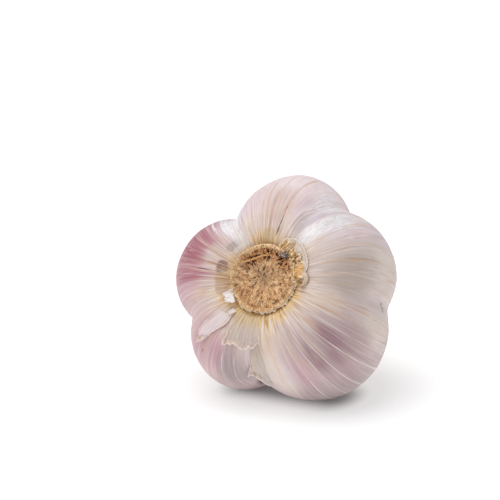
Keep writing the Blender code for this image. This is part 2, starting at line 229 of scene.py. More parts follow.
# Veins that can be made out one by one: angle by the roots, how far it swings by the girth, start and
# end share, strength, tint. The ones between them are strewn with a fixed seed.
Vein = namedtuple("Vein", "angle swing start end strength tint")
MAIN_VEINS = [Vein(*row) for row in (
    (21, -2, 0.09, 0.62, 1, "orange"),
    (11.5, 0.5, 0.10, 0.60, 0.45, "orange"),
    (3.5, 3, 0.08, 0.66, 0.9, "orange"),
    (353.5, -4, 0.08, 0.70, 1, "orange"),
    (30, 0, 0.08, 0.5, 0.5, "orange"),
    (41, 1, 0.09, 0.6, 0.45, "orange"),
    (56, -1, 0.10, 0.6, 0.5, "ivory"),
    (70, -2, 0.12, 0.6, 0.8, "ivory"),
    (82, 0, 0.10, 0.55, 0.7, "orange"),
    (90, 1, 0.07, 0.5, 0.5, "orange"),
    (97, 1, 0.07, 0.5, 0.6, "orange"),
    (105, 1, 0.07, 0.5, 0.6, "ivory"),
    (118, 0, 0.10, 0.5, 0.6, "ivory"),
    (150, -1, 0.10, 0.5, 0.6, "ivory"),
    (158.5, 0, 0.10, 0.6, 0.7, "rose"),
    (177, 0, 0.08, 0.6, 0.55, "rose"),
    (198, 0, 0.08, 0.6, 0.5, "ivory"),
    (207, 0, 0.08, 0.6, 0.6, "ivory"),
    (249.6, 0, 0.15, 0.75, 1, "ivory"),
    (260, -3, 0.15, 0.75, 0.9, "ivory"),
    (238, 0, 0.15, 0.75, 0.4, "ivory"),
    (289, 0, 0.06, 0.6, 0.7, "orange"),
    (296, 0, 0.06, 0.7, 0.6, "orange"),
    (303, 0, 0.10, 0.7, 0.9, "ivory"),
    (310, 0.5, 0.12, 0.75, 0.9, "ivory"),
    (317, 1, 0.10, 0.75, 0.9, "ivory"),
    (325.5, 2.5, 0.08, 0.75, 1, "ivory"),
    (336, 0, 0.09, 0.7, 0.8, "ivory"),
    (344.5, 0, 0.09, 0.7, 0.5, "orange"),
)]
VEIN_GAPS = (2.2, 5.5)
VEIN_CLEARANCE = 1.8

# Where the pleats by the roots are strong and where fibres show far up: middle angle, reach, how much
STRONG_PLEATS = (
    (285.0, 48.0, 1.0), (94.0, 20.0, 1.0), (180.0, 45.0, 0.75), (322.0, 26.0, 0.85), (345.0, 14.0, 0.8),
)
FIBROUS_SIDES = ((112.0, 32.0, 0.8), (60.0, 16.0, 0.5), (188.0, 26.0, 0.4))

# Steps in degrees and share over which the skin's slope is taken
SLOPE_STEPS = (0.3, 0.003)

# Cracks and nicks: from an angle and share to another, width in mm, depth in mm, tint
Nick = namedtuple("Nick", "start end width depth tint")
NICKS = [Nick(*row) for row in (
    ((81.5, 0.150), (80.5, 0.098), 0.10, 0.08, "rust"),
    ((80.5, 0.098), (81, 0.072), 0.16, 0.25, "umber"),
    ((81, 0.072), (82.5, 0.041), 0.24, 0.35, "umber"),
    ((1.4, 0.398), (359.2, 0.402), 0.22, 0.3, "umber"),
    ((359.2, 0.402), (356.8, 0.414), 0.3, 0.2, "umber"),
    ((333, 0.487), (333.4, 0.493), 0.25, 0.15, "rust"),
    ((233.5, 0.206), (232.6, 0.226), 0.28, 0.15, "rust"),
    ((264.6, 0.374), (261.4, 0.446), 0.65, 0.5, "umber"),
    ((178, 0.120), (178.6, 0.068), 0.13, 0.15, "umber"),
)]

# Torn pieces of the outermost skin. Their left and right edges, as seen from the root end, run
# through these places from the roots to the torn end, and the torn end follows the marks between.
# A bound one has its right edge still grown into the skin; a bridge of 1 spans the groove below it.
Sheet = namedtuple("Sheet", "left right ending lift curl seed bound bridge")
TORN_SHEETS = {
    "torn_skin_long": Sheet(
        [(223.2, 0.040), (225.2, 0.085), (225.4, 0.11), (225.0, 0.135), (224.8, 0.158), (227.5, 0.198)],
        [(240.2, 0.030), (241.8, 0.051), (242.3, 0.076), (238.2, 0.105), (235.2, 0.128), (232.0, 0.180)],
        [1.0, 1.0, 0.97, 1.0, 0.96, 0.98, 0.94], 0.3, 0.35, 3, False, 0.0),
    "torn_skin_wide": Sheet(
        [(241.8, 0.016), (243.8, 0.030), (245.8, 0.061), (246.8, 0.091), (247.2, 0.120), (248.8, 0.134)],
        [(282.0, 0.020), (282.5, 0.04), (282.5, 0.065), (282.0, 0.085), (281.5, 0.105), (280.0, 0.125)],
        [1.0, 0.99, 0.94, 0.90, 0.92, 0.99, 1.06, 1.07, 1.03, 1.08, 0.98, 0.86], 0.3, 0.8, 5, True, 0.3),
    "torn_skin_strip": Sheet(
        [(271.5, 0.115), (270.6, 0.17), (269.5, 0.215), (265.8, 0.263), (262.2, 0.302)],
        [(281.0, 0.115), (280.2, 0.17), (280.2, 0.22), (280.0, 0.27), (279.8, 0.335)],
        [0.82, 0.75, 0.80, 0.88, 0.96, 1.0], 0.25, 0.6, 9, True, 0.85),
}

# Scraps of skin curled up at the edge of the root plate: the angle, distance and height of the corners
Scrap = namedtuple("Scrap", "corners curl seed")
SCRAPS = {
    "rim_scrap_upper": Scrap(
        [(207.3, 8.5, -1.9), (232.0, 9.6, -2.1), (209.9, 11.2, -2.1), (223.0, 11.5, -2.5)], 0.4, 12),
    "rim_scrap_lower": Scrap(
        [(234.7, 11.1, -1.5), (240.3, 11.3, -1.6), (233.4, 12.8, -1.8), (237.7, 13.0, -2.0)], 0.25, 14),
}

# Colours of the torn pieces, by the roots and at the torn end
SHEET_TINTS = {
    "torn_skin_long": ((0.99, 0.92, 0.90), (0.98, 0.89, 0.90)),
    "torn_skin_wide": ((0.90, 0.81, 0.73), (0.86, 0.78, 0.74)),
    "torn_skin_strip": ((0.82, 0.74, 0.68), (0.88, 0.82, 0.78)),
    "rim_scrap_upper": ((0.99, 0.97, 0.97), (0.99, 0.96, 0.95)),
    "rim_scrap_lower": ((0.98, 0.95, 0.94), (0.98, 0.93, 0.88)),
}

# A sliver of old root lying along the upper edge of the root plate, from its looped end: angle,
# distance and height; and a grey clod of soil beside it
SLIVER_PATH = [
    (146.0, 6.9, -2.2), (141.0, 7.7, -2.3), (146.5, 8.3, -2.5), (152.5, 7.9, -2.5), (153.5, 7.0, -2.4),
    (146.0, 6.4, -2.3), (137.0, 5.9, -2.2), (126.0, 5.6, -2.1), (114.0, 5.6, -2.0), (102.0, 5.8, -1.9),
    (92.0, 6.0, -1.8), (84.0, 6.2, -1.6),
]
CLOD_PLACE = (51.5, 8.7, -2.1)
CLOD_SIZE = (1.15, 0.85, 0.7)

# The flap at the edge of the root plate: its angles and inner edge, and the outline of its collar
LIP_ANGLES = (-7.0, 76.0)
LIP_START = 8.2
COLLAR_OUTLINE = [
    (5.0, 0.02), (8.0, 0.03), (13.0, 0.050), (24.2, 0.064), (38.8, 0.068), (55.5, 0.070), (68.0, 0.048),
    (73.0, 0.02),
]

# Bits strewn over the root plate: two colours with the cells per metre and the ramp of their mix, the
# radius and length in mm, how far they lean in radians
Bit = namedtuple("Bit", "shape material colour other cells ramp radius length lean seed")
BITS = {
    "root_fibres": Bit(
        "strand", "root_fibre", (0.97, 0.82, 0.60), (0.70, 0.50, 0.34), 900.0, (0.42, 0.62),
        0.075, 1.1, 0.35, 3),
    "root_crumbs": Bit(
        "crumb", "root_crumb", (0.90, 0.66, 0.44), (0.26, 0.18, 0.14), 1300.0, (0.50, 0.56),
        0.25, 0.23, 1.5, 8),
    "rim_beads": Bit(
        "crumb", "rim_bead", (1.0, 0.88, 0.70), (0.88, 0.66, 0.44), 1300.0, (0.50, 0.62),
        0.22, 0.2, 1.5, 14),
    "plate_grit": Bit(
        "crumb", "plate_grit", (0.90, 0.70, 0.48), (0.24, 0.17, 0.15), 1100.0, (0.48, 0.54),
        0.14, 0.12, 1.5, 11),
}
BEAD_DENSITY = 4.5
GRIT_DENSITY = 0.7

# Dry leaf tips: angle, distance and height of the end, twist. They start at the first height of
# TIP_FOOT and come free of the neck at the second.
DRY_TIPS = {
    "dry_tip_right": (18.0, 9.0, 66.5, 8.0),
    "dry_tip_top": (84.0, 7.6, 70.0, -10.0),
    "dry_tip_left": (172.0, 10.2, 64.0, 9.0),
    "dry_tip_low": (326.0, 6.6, 61.5, -6.0),
}
TIP_FOOT = (46.5, 50.0)
TIP_WIDTH = 5.4
TIP_NECK = 5.4

# Grids of vertices: columns, then rows or rings; the sliver's and the clod's the other way round
SKIRT_GRID = (420, 9)
LIP_GRID = (420, 60)
COLLAR_GRID = (200, 26)
CURL_GRID = (40, 30)
SHEET_GRID = (90, 84)
SCRAP_GRID = (40, 40)
STEM_GRID = (220, 110)
TIP_GRID = (36, 90)
SLIVER_GRID = (72, 10)
CLOD_GRID = (12, 24)
ROW_SPREAD = 1.12
RING_SPREAD = 0.75

# The floor's painted glow at its darkest, in the painted shadow under the bulb
FLOOR_DARKEST = 0.08
SURROUNDINGS = (0.985, 0.985, 1.0, 1.0)
SUN_SPREAD = 50.0
SUN_FROM = (-0.23, -0.2, 1.0)
LENS_SHIFT = (-0.0748, 0.0848)


# Numbers and colours


def linear(colour):
    """A colour as seen on screen, as the light values that materials use."""
    c = np.asarray(colour, float)
    return np.where(c <= 0.04045, c / 12.92, ((c + 0.055) / 1.055) ** 2.4)


def light(tint):
    """A tint by its name, or as seen on screen, as light values."""
    return linear(TINTS.get(tint, tint))


def rgba(tint):
    return (*light(tint), 1.0)


def smooth(x):
    x = np.clip(x, 0.0, 1.0)
    return x * x * (3.0 - 2.0 * x)


def bell(x, middle, width, power=2):
    """1 at the middle, falling away on both sides."""
    return np.exp(-(((x - middle) / width) ** power))


def apart(angle, other):
    """Signed angle from the second to the first, from -180 to 180."""
    return (np.asarray(angle) - other + 180.0) % 360.0 - 180.0


def near(angle, middle, reach):
    """1 at the middle angle, falling away on both sides."""
    return bell(apart(angle, middle), 0.0, reach)


def facing(angle, middle):
    """1 at the middle angle, down to -1 on the far side."""
    return np.cos(np.radians(apart(angle, middle)))


def flat(angle, distance):
    return distance * np.cos(np.radians(angle)), distance * np.sin(np.radians(angle))


def turns(columns):
    """Angles at even steps once round."""
    return np.arange(columns) * 360.0 / columns


def unit_grid(columns, rows):
    """Two grids of numbers from 0 to 1, one growing with the columns and one with the rows."""
    return np.meshgrid(np.linspace(0.0, 1.0, columns), np.linspace(0.0, 1.0, rows))


def waves(turn, along, cells, seed):
    """A smooth random field from -1 to 1 with this many cells in a turn; it closes after one turn."""
    rows = 64
    grid = np.random.default_rng(seed).uniform(-1.0, 1.0, (rows, cells))
    u = np.asarray(turn, float) * cells
    v = np.asarray(along, float) + np.zeros_like(u)
    i = np.floor(u).astype(int)
    j = np.floor(v).astype(int)
    fu = smooth(u - i)
    fv = smooth(v - j)
    lower = grid[j % rows, i % cells] * (1 - fu) + grid[j % rows, (i + 1) % cells] * fu
    upper = grid[(j + 1) % rows, i % cells] * (1 - fu) + grid[(j + 1) % rows, (i + 1) % cells] * fu
    return lower * (1 - fv) + upper * fv


def plane_noise(x, y, per_mm, seed):
    """A smooth random field from -1 to 1 on a plane."""
    return waves((x * per_mm + 50.0) / 101.0, y * per_mm + 32.0, 101, seed)


def blend(colour, other, amount):
    """Mixes arrays of colours by an array of amounts."""
    amount = np.clip(amount, 0.0, 1.0)[..., None]
    return colour * (1.0 - amount) + other * amount


def plain(like, tint):
    """One tint for each number of an array."""
    return np.zeros(like.shape + (3,)) + light(tint)


def painted(colour, *layers):
    """Lays tints over an array of colours in turn, each by its array of amounts."""
    for tint, amount in layers:
        colour = blend(colour, light(tint), amount)
    return colour


# The shape of the bulb


def along_crest(share):
    """Distance from the axis and height on a smooth curve through CREST."""
    spans = np.hypot(*np.diff(CREST, axis=0).T)
    ends = np.concatenate([[0.0], np.cumsum(spans)])
    way = np.clip(share, 0.0, 1.0) * ends[-1]
    i = np.clip(np.searchsorted(ends, way, side="right") - 1, 0, len(spans) - 1)
    u = ((way - ends[i]) / spans[i])[..., None]
    points = np.vstack([2 * CREST[0] - CREST[1], CREST, 2 * CREST[-1] - CREST[-2]])
    a, b, c, d = points[i], points[i + 1], points[i + 2], points[i + 3]
    return 0.5 * (
        2 * b + (c - a) * u + (2 * a - 5 * b + 4 * c - d) * u**2 + (3 * b - a - 3 * c + d) * u**3
    )


def share_at(height):
    """The share of the way along the crest, past the girth, at which it reaches each height."""
    shares = np.linspace(0.5, 1.0, 400)
    return np.interp(height, along_crest(shares)[:, 1], shares)


def girth_outline(angle):
    """Distance of the skin from the axis at the girth: the circles of the cloves under one skin."""
    reaches = []
    for clove_angle, distance, radius in CLOVES.values():
        turn = np.radians(angle - clove_angle)
        inside = np.maximum(0.0, radius**2 - (distance * np.sin(turn)) ** 2)
        reaches.append(np.maximum(0.01, distance * np.cos(turn) + np.sqrt(inside)))
    widest = np.max(reaches, axis=0)
    return widest * sum((r / widest) ** SKIN_STRETCH for r in reaches) ** (1.0 / SKIN_STRETCH)


def upright(angle, distance, height):
    """Places in the bulb's upright frame, from the angle and distance round its axis."""
    turn = np.radians(-np.asarray(angle, float))
    distance = np.asarray(distance, float)
    height = np.asarray(height, float) + np.zeros_like(turn + distance)
    return np.stack([distance * np.cos(turn), distance * np.sin(turn) + 0.0 * height, height], -1)


def on_plate(angle, distance, height):
    """A place on the root plate, whose middle lies a little off the axis."""
    return upright(angle, distance, height) + np.array(PLATE_SHIFT)


def plain_skin(angle, share):
    """The skin without its relief, in the bulb's upright frame."""
    angle, share = np.broadcast_arrays(np.asarray(angle, float), np.asarray(share, float))
    middle, reach, most, way = GROOVE_DRIFT
    drifted = angle - most * near(angle, middle, reach) * (1 - smooth(share / way))
    crest = along_crest(share)
    groove = np.interp(share, *zip(*GROOVE_SHARE))
    distance = crest[..., 0] * (1.0 - groove * (1.0 - girth_outline(drifted) / GIRTH))
    return upright(angle, distance, crest[..., 1])


def wander(angle, share):
    """How far the fibres of the skin stray sideways."""
    return 1.3 * waves(angle / 360.0, share * 4.0, 11, 21) * smooth(share / 0.2) * smooth((1 - share) / 0.2)


def skin_place(angle, share, height=0.0):
    """The skin at a fibre's angle, raised by a height, in the bulb's upright frame."""
    around = angle + wander(angle, share)
    turned, moved = SLOPE_STEPS
    before, after = np.maximum(0.0, share - moved), np.minimum(1.0, share + moved)
    sideways = plain_skin(around + turned, share) - plain_skin(around - turned, share)
    ahead = plain_skin(around, after) - plain_skin(around, before)
    out = np.cross(ahead, sideways)
    out /= np.linalg.norm(out, axis=-1, keepdims=True) + 1e-9
    return plain_skin(around, share) + out * np.asarray(height)[..., None]


def leaned(place, degrees):
    """Places turned about the x axis."""
    lean = math.radians(degrees)
    x, y, z = np.moveaxis(np.asarray(place, float), -1, 0)
    across, up = y * math.cos(lean) - z * math.sin(lean), y * math.sin(lean) + z * math.cos(lean)
    return np.stack([x, across, up], -1)


def to_frame(place):
    """From the bulb's upright frame in millimetres to the model's frame in metres."""
    return (leaned(place, -90.0 - TIPPED_UP) + np.array(AXIS_ORIGIN)) * MM


def round_grain(angle, radius, along):
    """Places for a material's fibres that run along a body of this radius."""
    return np.stack([*flat(angle, radius), along], -1)


# Meshes


def grid_faces(rows, columns, closed=False):
    """Faces of a grid of vertices, row by row; closed joins the last column to the first."""
    index = np.arange(rows * columns).reshape(rows, columns)
    if closed:
        index = np.hstack([index, index[:, :1]])
    a, b, c, d = index[:-1, :-1], index[:-1, 1:], index[1:, 1:], index[1:, :-1]
    return np.stack([a, b, c, d], -1).reshape(-1, 4).tolist()


def tube_faces(rings, columns):
    """Faces of a tube of rings, with one face over each end."""
    last = (rings - 1) * columns
    return grid_faces(rings, columns, True) + [
        list(range(columns))[::-1], list(range(last, last + columns))]


def store(mesh, key, values, kind="FLOAT", item="value"):
    """Gives each vertex of a mesh a value that nodes can read."""
    layer = mesh.attributes.new(key, kind, "POINT")
    layer.data.foreach_set(item, np.asarray(values, np.float32).ravel())


def add_object(name, data):
    made = bpy.data.objects.new(name, data)
    bpy.context.scene.collection.objects.link(made)
    return made


def add_piece(name, mesh, replaces=()):
    """One object at the origin, riding on the bulb."""
    piece = add_object(name, mesh)
    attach(piece, "root")
    if replaces:
        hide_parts(*replaces)
    return piece


def make_piece(name, place, faces, material, slot, tints, grain, replaces=(), numbers=None):
    """A piece from places in the upright frame, with tints, a grain and numbers for its material."""
    mesh = bpy.data.meshes.new(name)
    mesh.from_pydata(to_frame(np.reshape(place, (-1, 3))).tolist(), [], faces)
    for key, values in tints.items():
        values = np.clip(np.reshape(values, (-1, 3)), 0.0, 1.0)
        layer = mesh.color_attributes.new(key, "FLOAT_COLOR", "POINT")
        opaque = np.hstack([values, np.ones((len(values), 1))])
        layer.data.foreach_set("color", opaque.astype(np.float32).ravel())
    store(mesh, "grain", grain, "FLOAT_VECTOR", "vector")
    for key, values in (numbers or {}).items():
        store(mesh, key, values)
    mesh.shade_smooth()
    mesh.materials.append(material)
    return add_piece(name, mesh, replaces)


def make_solid(*parts, **more):
    """A closed piece, with its faces turned outwards."""
    piece = make_piece(*parts, **more)
    bm = bmesh.new()
    bm.from_mesh(piece.data)
    bmesh.ops.recalc_face_normals(bm, faces=bm.faces)
    bm.to_mesh(piece.data)
    bm.free()


def make_sheet(name, place, material, slot, tint, grain, thickness, offset=0.0, replaces=(), closed=False):
    """A grid of places as a piece of this thickness in mm; offset 0 puts it half on each side."""
    faces = grid_faces(*place.shape[:2], closed)
    piece = make_piece(name, place, faces, material, slot, {"tint": tint}, grain, replaces)
    solid = piece.modifiers.new("thickness", "SOLIDIFY")
    solid.thickness = thickness * MM
    solid.offset = offset


# Nodes and materials


def connect(tree, socket, value):
    """Links a socket to a value of the tree, or sets it to a constant."""
    if isinstance(value, Value):
        value = value.socket
    if isinstance(value, bpy.types.NodeSocket):
        tree.links.new(value, socket)
    else:
        socket.default_value = value


def add_node(tree, kind, settings=None, **inputs):
    """Any node: its settings first, then its sockets by name, or by number after an underscore."""
    node = tree.nodes.new(kind)
    for key, value in (settings or {}).items():
        setattr(node, key, value)
    for key, value in inputs.items():
        connect(tree, node.inputs[int(key[1:]) if key[1:].isdigit() else key.replace("_", " ")], value)
    return node


class Value:
    """A number in a material's node tree. Arithmetic on it adds Math nodes."""

    def __init__(self, tree, socket):
        self.tree = tree
        self.socket = socket

    def math(self, operation, *others):
        inputs = {f"_{place}": value for place, value in enumerate((self, *others))}
        node = add_node(self.tree, "ShaderNodeMath", {"operation": operation}, **inputs)
        return Value(self.tree, node.outputs[0])

    def reflected(self, operation, other):
        start = self.tree.nodes.new("ShaderNodeValue")
        start.outputs[0].default_value = other
        return Value(self.tree, start.outputs[0]).math(operation, self)

    def __add__(self, other):
        return self.math("ADD", other)

    def __sub__(self, other):
        return self.math("SUBTRACT", other)

    def __mul__(self, other):
        return self.math("MULTIPLY", other)

    def __truediv__(self, other):
        return self.math("DIVIDE", other)

    def __pow__(self, other):
        return self.math("POWER", other)

    def __rsub__(self, other):
        return self.reflected("SUBTRACT", other)

    __radd__ = __add__
    __rmul__ = __mul__

    def ramp(self, low, high):
        """Rises smoothly from 0 at low to 1 at high, or falls where low is above high."""
        node = add_node(
            self.tree, "ShaderNodeMapRange", {"interpolation_type": "SMOOTHSTEP"}, Value=self,
            From_Min=min(low, high), From_Max=max(low, high),
            To_Min=float(low > high), To_Max=float(low < high),
        )
        return Value(self.tree, node.outputs["Result"])


class Material:
    """A material with a Principled shader, built node by node."""

    def __init__(self, name, **constants):
        self.material = bpy.data.materials.new(name)
        self.material.use_nodes = True
        self.tree = self.material.node_tree
        self.shader = self.tree.nodes["Principled BSDF"]
        self.feed(**constants)

    def node(self, kind, settings=None, **inputs):
        return add_node(self.tree, kind, settings, **inputs)

    def feed(self, **values):
        """Links or sets the shader's inputs."""
        for key, value in values.items():
            connect(self.tree, self.shader.inputs[key.replace("_", " ")], value)

    def attribute(self, name, output="Fac"):
        return self.node("ShaderNodeAttribute", {"attribute_name": name}).outputs[output]

    def number(self, name):
        return Value(self.tree, self.attribute(name))

    def dressing(self):
        """The grain and the tint that each piece carries."""
        return self.attribute("grain", "Vector"), self.attribute("tint", "Color")

    def place(self):
        return self.node("ShaderNodeTexCoord").outputs["Object"]

    def noise(self, vector, scale, detail=2.0, roughness=0.5, stretch=None):
        """Noise from 0 to 1 at this many cells per unit, stretched along the vector's axes."""
        if stretch:
            times = self.node("ShaderNodeVectorMath", {"operation": "MULTIPLY"}, _0=vector, _1=stretch)
            vector = times.outputs[0]
        noise = self.node(
            "ShaderNodeTexNoise", Vector=vector, Scale=scale, Detail=detail, Roughness=roughness)
        return Value(self.tree, noise.outputs["Fac"])

    def mix(self, amount, colour, other, blend_type="MIX"):
        settings = {"data_type": "RGBA", "blend_type": blend_type, "clamp_factor": True}
        return self.node("ShaderNodeMix", settings, _0=amount, _6=colour, _7=other).outputs[2]

    def layers(self, colour, blend_type, *rows):
        """Mixes tints over a colour in turn, each by its amount."""
        for amount, tint in rows:
            colour = self.mix(amount, colour, rgba(tint), blend_type)
        return colour

    def bump(self, height, strength, distance):
        return self.node("ShaderNodeBump", Height=height, Strength=strength, Distance=distance).outputs[0]


def skin_material(look):
    """Papery garlic skin: long fibres, raised veins of another tint, a glossy sheen with painted white glints
    and painted shade between them, and a little glow.
    """
    m = Material(
        "papery_skin", Specular_IOR_Level=0.5, Subsurface_Weight=look.glow, Subsurface_Scale=0.002,
        Subsurface_Radius=(1.0, 0.65, 0.5),
    )
    grain, tint = m.dressing()
    gap, strength, satin, fibrous = map(m.number, ("vein_gap", "vein_strength", "satin", "fibrous"))
    hair = m.noise(grain, 1.0, 1.0, 0.6, (3.0, 3.0, 0.09))
    fine = m.noise(grain, 1.0, 2.0, 0.55, (1.7, 1.7, 0.06))
    weave = m.noise(grain, 1.0, 2.0, 0.5, (0.8, 0.8, 2.6))
    mottle = m.noise(grain, 0.45, 3.0, 0.6)
    glint = m.noise(grain, 1.0, 3.0, 0.65, (2.6, 2.6, 0.5))
    patchy = m.noise(grain, 1.0, 2.0, 0.5, (0.35, 0.35, 0.05)).ramp(0.45, 0.62)
    brown, white = (
        (m.noise(grain, 1.0, 1.0, 0.5, stretch) - 0.5).math("ABSOLUTE").ramp(0.042, 0.008) * patchy
        for stretch in ((0.55, 0.55, 0.022), (0.75, 0.75, 0.027)))
    vein = gap.ramp(look.vein_width, 0.06) * strength
    colour = m.layers(
        tint, "MULTIPLY", (hair.ramp(0.52, 0.64) * fibrous * 0.36, (0.82, 0.73, 0.67)),
        (fine.ramp(0.54, 0.66) * fibrous * 0.27, (0.84, 0.75, 0.73)))
    colour = m.layers(colour, "MIX", (hair.ramp(0.47, 0.36) * fibrous * 0.36, (0.99, 0.97, 0.96)))
    colour = m.layers(
        colour, "MULTIPLY", (weave.ramp(0.50, 0.68) * 0.10, (0.86, 0.80, 0.77)),
        (mottle.ramp(0.50, 0.72) * 0.14, (0.88, 0.81, 0.78)))
    # Painted highlights: white glints where the skin is glossy, with painted shade between them
    colour = m.layers(
        colour, "MIX", (satin * glint.ramp(0.46, 0.58), (0.99, 0.98, 0.99)),
        (satin * glint.ramp(0.46, 0.36) * 0.6, (0.74, 0.70, 0.73)))
    colour = m.layers(colour, "MULTIPLY", (brown * 0.45, (0.90, 0.77, 0.66)))
    colour = m.layers(colour, "MIX", (white * 0.25, (0.99, 0.95, 0.92)))
    colour = m.mix(vein, colour, m.attribute("vein_tint", "Color"))
    threads = white * 0.3 - brown * 0.3 + hair * fibrous * 0.45 + fine * fibrous * 0.7
    height = threads + weave * 0.12 + vein * 0.7 + glint * satin * 1.8
    rough = 0.42 + hair * 0.08 + mottle * 0.08 - satin * 0.16
    m.feed(Base_Color=colour, Roughness=rough, Normal=m.bump(height, look.relief, 0.0002))
    return m.material


def crust_material():
    """The dry woody crust: matt, pitted, with fine fibres that run outwards."""
    m = Material("root_crust", Specular_IOR_Level=0.25)
    grain, tint = m.dressing()
    place = m.place()
    fibre = m.noise(grain, 1.0, 3.0, 0.65, (2.4, 2.4, 0.6))
    speck = m.noise(place, 2300.0, 2.0, 0.6)
    grit = m.noise(place, 900.0, 4.0, 0.65)
    colour = m.layers(tint, "MULTIPLY", (fibre.ramp(0.50, 0.62) * 0.62, (0.62, 0.42, 0.30)))
    colour = m.layers(
        colour, "MIX", (fibre.ramp(0.46, 0.36) * 0.7, (1.0, 0.88, 0.72)),
        (speck.ramp(0.62, 0.70) * 0.6, (0.30, 0.20, 0.14)))
    colour = m.layers(colour, "MULTIPLY", (grit.ramp(0.58, 0.74) * 0.3, (0.66, 0.48, 0.34)))
    height = fibre + grit * 0.7 + speck * 0.4
    m.feed(Base_Color=colour, Roughness=0.75 + grit * 0.2, Normal=m.bump(height, 0.8, 0.0003))
    return m.material


def torn_material(look):
    """Loose papery skin, thin and dry, with fine fibres."""
    known = bpy.data.materials.get("loose_skin")
    if known:
        return known
    m = Material(
        "loose_skin", Specular_IOR_Level=0.45, Subsurface_Weight=look.glow, Subsurface_Scale=0.0015,
        Subsurface_Radius=(1.0, 0.75, 0.55),
    )
    grain, tint = m.dressing()
    hair = m.noise(grain, 1.0, 2.0, 0.6, (4.0, 4.0, 0.12))
    fine = m.noise(grain, 1.0, 2.0, 0.6, (1.8, 1.8, 0.10))
    crinkle = m.noise(grain, 0.9, 3.0, 0.6)
    colour = m.layers(
        tint, "MULTIPLY", (hair.ramp(0.52, 0.66) * 0.3, (0.86, 0.76, 0.68)),
        (fine.ramp(0.54, 0.66) * 0.35, (0.87, 0.77, 0.70)),
        (crinkle.ramp(0.55, 0.75) * 0.25, (0.88, 0.82, 0.76)))
    height = hair * 0.5 + fine * 0.8 + crinkle * 1.2
    m.feed(Base_Color=colour, Roughness=0.42 + fine * 0.2, Normal=m.bump(height, 0.6, 0.00022))
    return m.material


def stem_material():
    """Dry stalk: pale straw with long fibres and brown stains."""
    m = Material("stem_fibre", Specular_IOR_Level=0.3)
    grain, tint = m.dressing()
    fine = m.noise(grain, 1.0, 3.0, 0.6, (5.0, 5.0, 0.25))
    broad = m.noise(grain, 1.0, 3.0, 0.6, (1.4, 1.4, 0.12))
    stain = m.noise(grain, 0.3, 3.0, 0.6)
    colour = m.layers(
        tint, "MULTIPLY", (fine.ramp(0.42, 0.70) * 0.5, (0.74, 0.60, 0.44)),
        (broad.ramp(0.50, 0.72) * 0.45, (0.70, 0.55, 0.38)),
        (stain.ramp(0.58, 0.75) * 0.5, (0.55, 0.38, 0.22)))
    height = fine * 0.6 + broad
    m.feed(Base_Color=colour, Roughness=0.62 + fine * 0.2, Normal=m.bump(height, 0.8, 0.00025))
    return m.material


def mottled_material(name, colour, other, cells, low, high):
    """A dry, matt material that changes from one colour to the other from piece to piece."""
    m = Material(name, Specular_IOR_Level=0.2, Roughness=0.85)
    place = m.place()
    change = m.noise(place, cells, 1.0, 0.5).ramp(low, high)
    grit = m.noise(place, 3500.0, 2.0, 0.6)
    mixed = m.mix(change, rgba(colour), rgba(other))
    mixed = m.layers(mixed, "MULTIPLY", (grit.ramp(0.45, 0.65) * 0.35, (0.55, 0.40, 0.28)))
    m.feed(Base_Color=mixed, Normal=m.bump(grit, 0.5, 0.0001))
    return m.material


# The wrapping skin


def draw_veins(look):
    """The main veins and the strewn ones between them, in order of angle."""
    draw = np.random.default_rng(look.seed)
    veins = list(MAIN_VEINS)
    angle = 0.0
    while angle < 360.0:
        if min(abs(apart(angle, main.angle)) for main in MAIN_VEINS) > VEIN_CLEARANCE:
            start, end = draw.uniform(0.07, 0.25), draw.uniform(0.4, 0.9)
            veins.append(Vein(angle, 0.0, start, end, draw.uniform(0.05, 0.30), "ivory"))
        angle += draw.uniform(*VEIN_GAPS)
    return sorted(veins)


def vein_fields(angle, share, look):
    """For each place on the skin: distance to the nearest vein in mm, its strength and its tint."""
    veins = draw_veins(look)
    swing = smooth(share / 0.45)
    gaps = np.stack([apart(angle, v.angle + v.swing * swing) for v in veins])
    nearest = np.abs(gaps).argmin(0)
    off = np.take_along_axis(gaps, nearest[None], 0)[0]
    start, end, strength = (
        np.array([getattr(v, key) for v in veins])[nearest] for key in ("start", "end", "strength"))
    tint = np.array([light(v.tint) for v in veins])[nearest]
    fade = smooth((share - start) / 0.05) * smooth((end - share) / 0.12)
    worn = 0.65 + 0.35 * waves(nearest / len(veins), share * 22.0, len(veins), 31)
    return np.abs(np.radians(off)) * along_crest(share)[..., 0], strength * fade * worn, tint


def nick_fields(angle, share):
    """How deep each place lies in a crack or nick in mm, how far it takes the nick's tint, the tint."""
    depth, amount = np.zeros(angle.shape), np.zeros(angle.shape)
    tint = np.zeros(angle.shape + (3,))
    for nick in NICKS:
        (a0, s0), (a1, s1) = nick.start, nick.end
        radius = float(along_crest(np.array(s0))[0])
        x, y = np.radians(apart(angle, a0)) * radius, (share - s0) * CREST_LENGTH
        dx, dy = math.radians(float(apart(a1, a0))) * radius, (s1 - s0) * CREST_LENGTH
        way = np.clip((x * dx + y * dy) / (dx * dx + dy * dy), 0.0, 1.0)
        taper = 0.35 + 0.65 * np.sin(math.pi * np.clip(way, 0.08, 0.92))
        inside = bell(np.hypot(x - way * dx, y - way * dy), 0.0, nick.width * taper)
        depth = np.maximum(depth, nick.depth * inside)
        tint = np.where((inside > amount)[..., None], light(nick.tint), tint)
        amount = np.maximum(amount, inside)
    return depth, amount, tint


def teeth_strength(angle):
    """How strongly the pleats by the roots show, round the bulb."""
    strong = sum(amount * near(angle, middle, reach) for middle, reach, amount in STRONG_PLEATS)
    return np.clip(0.35 + strong, 0.0, 1.0)


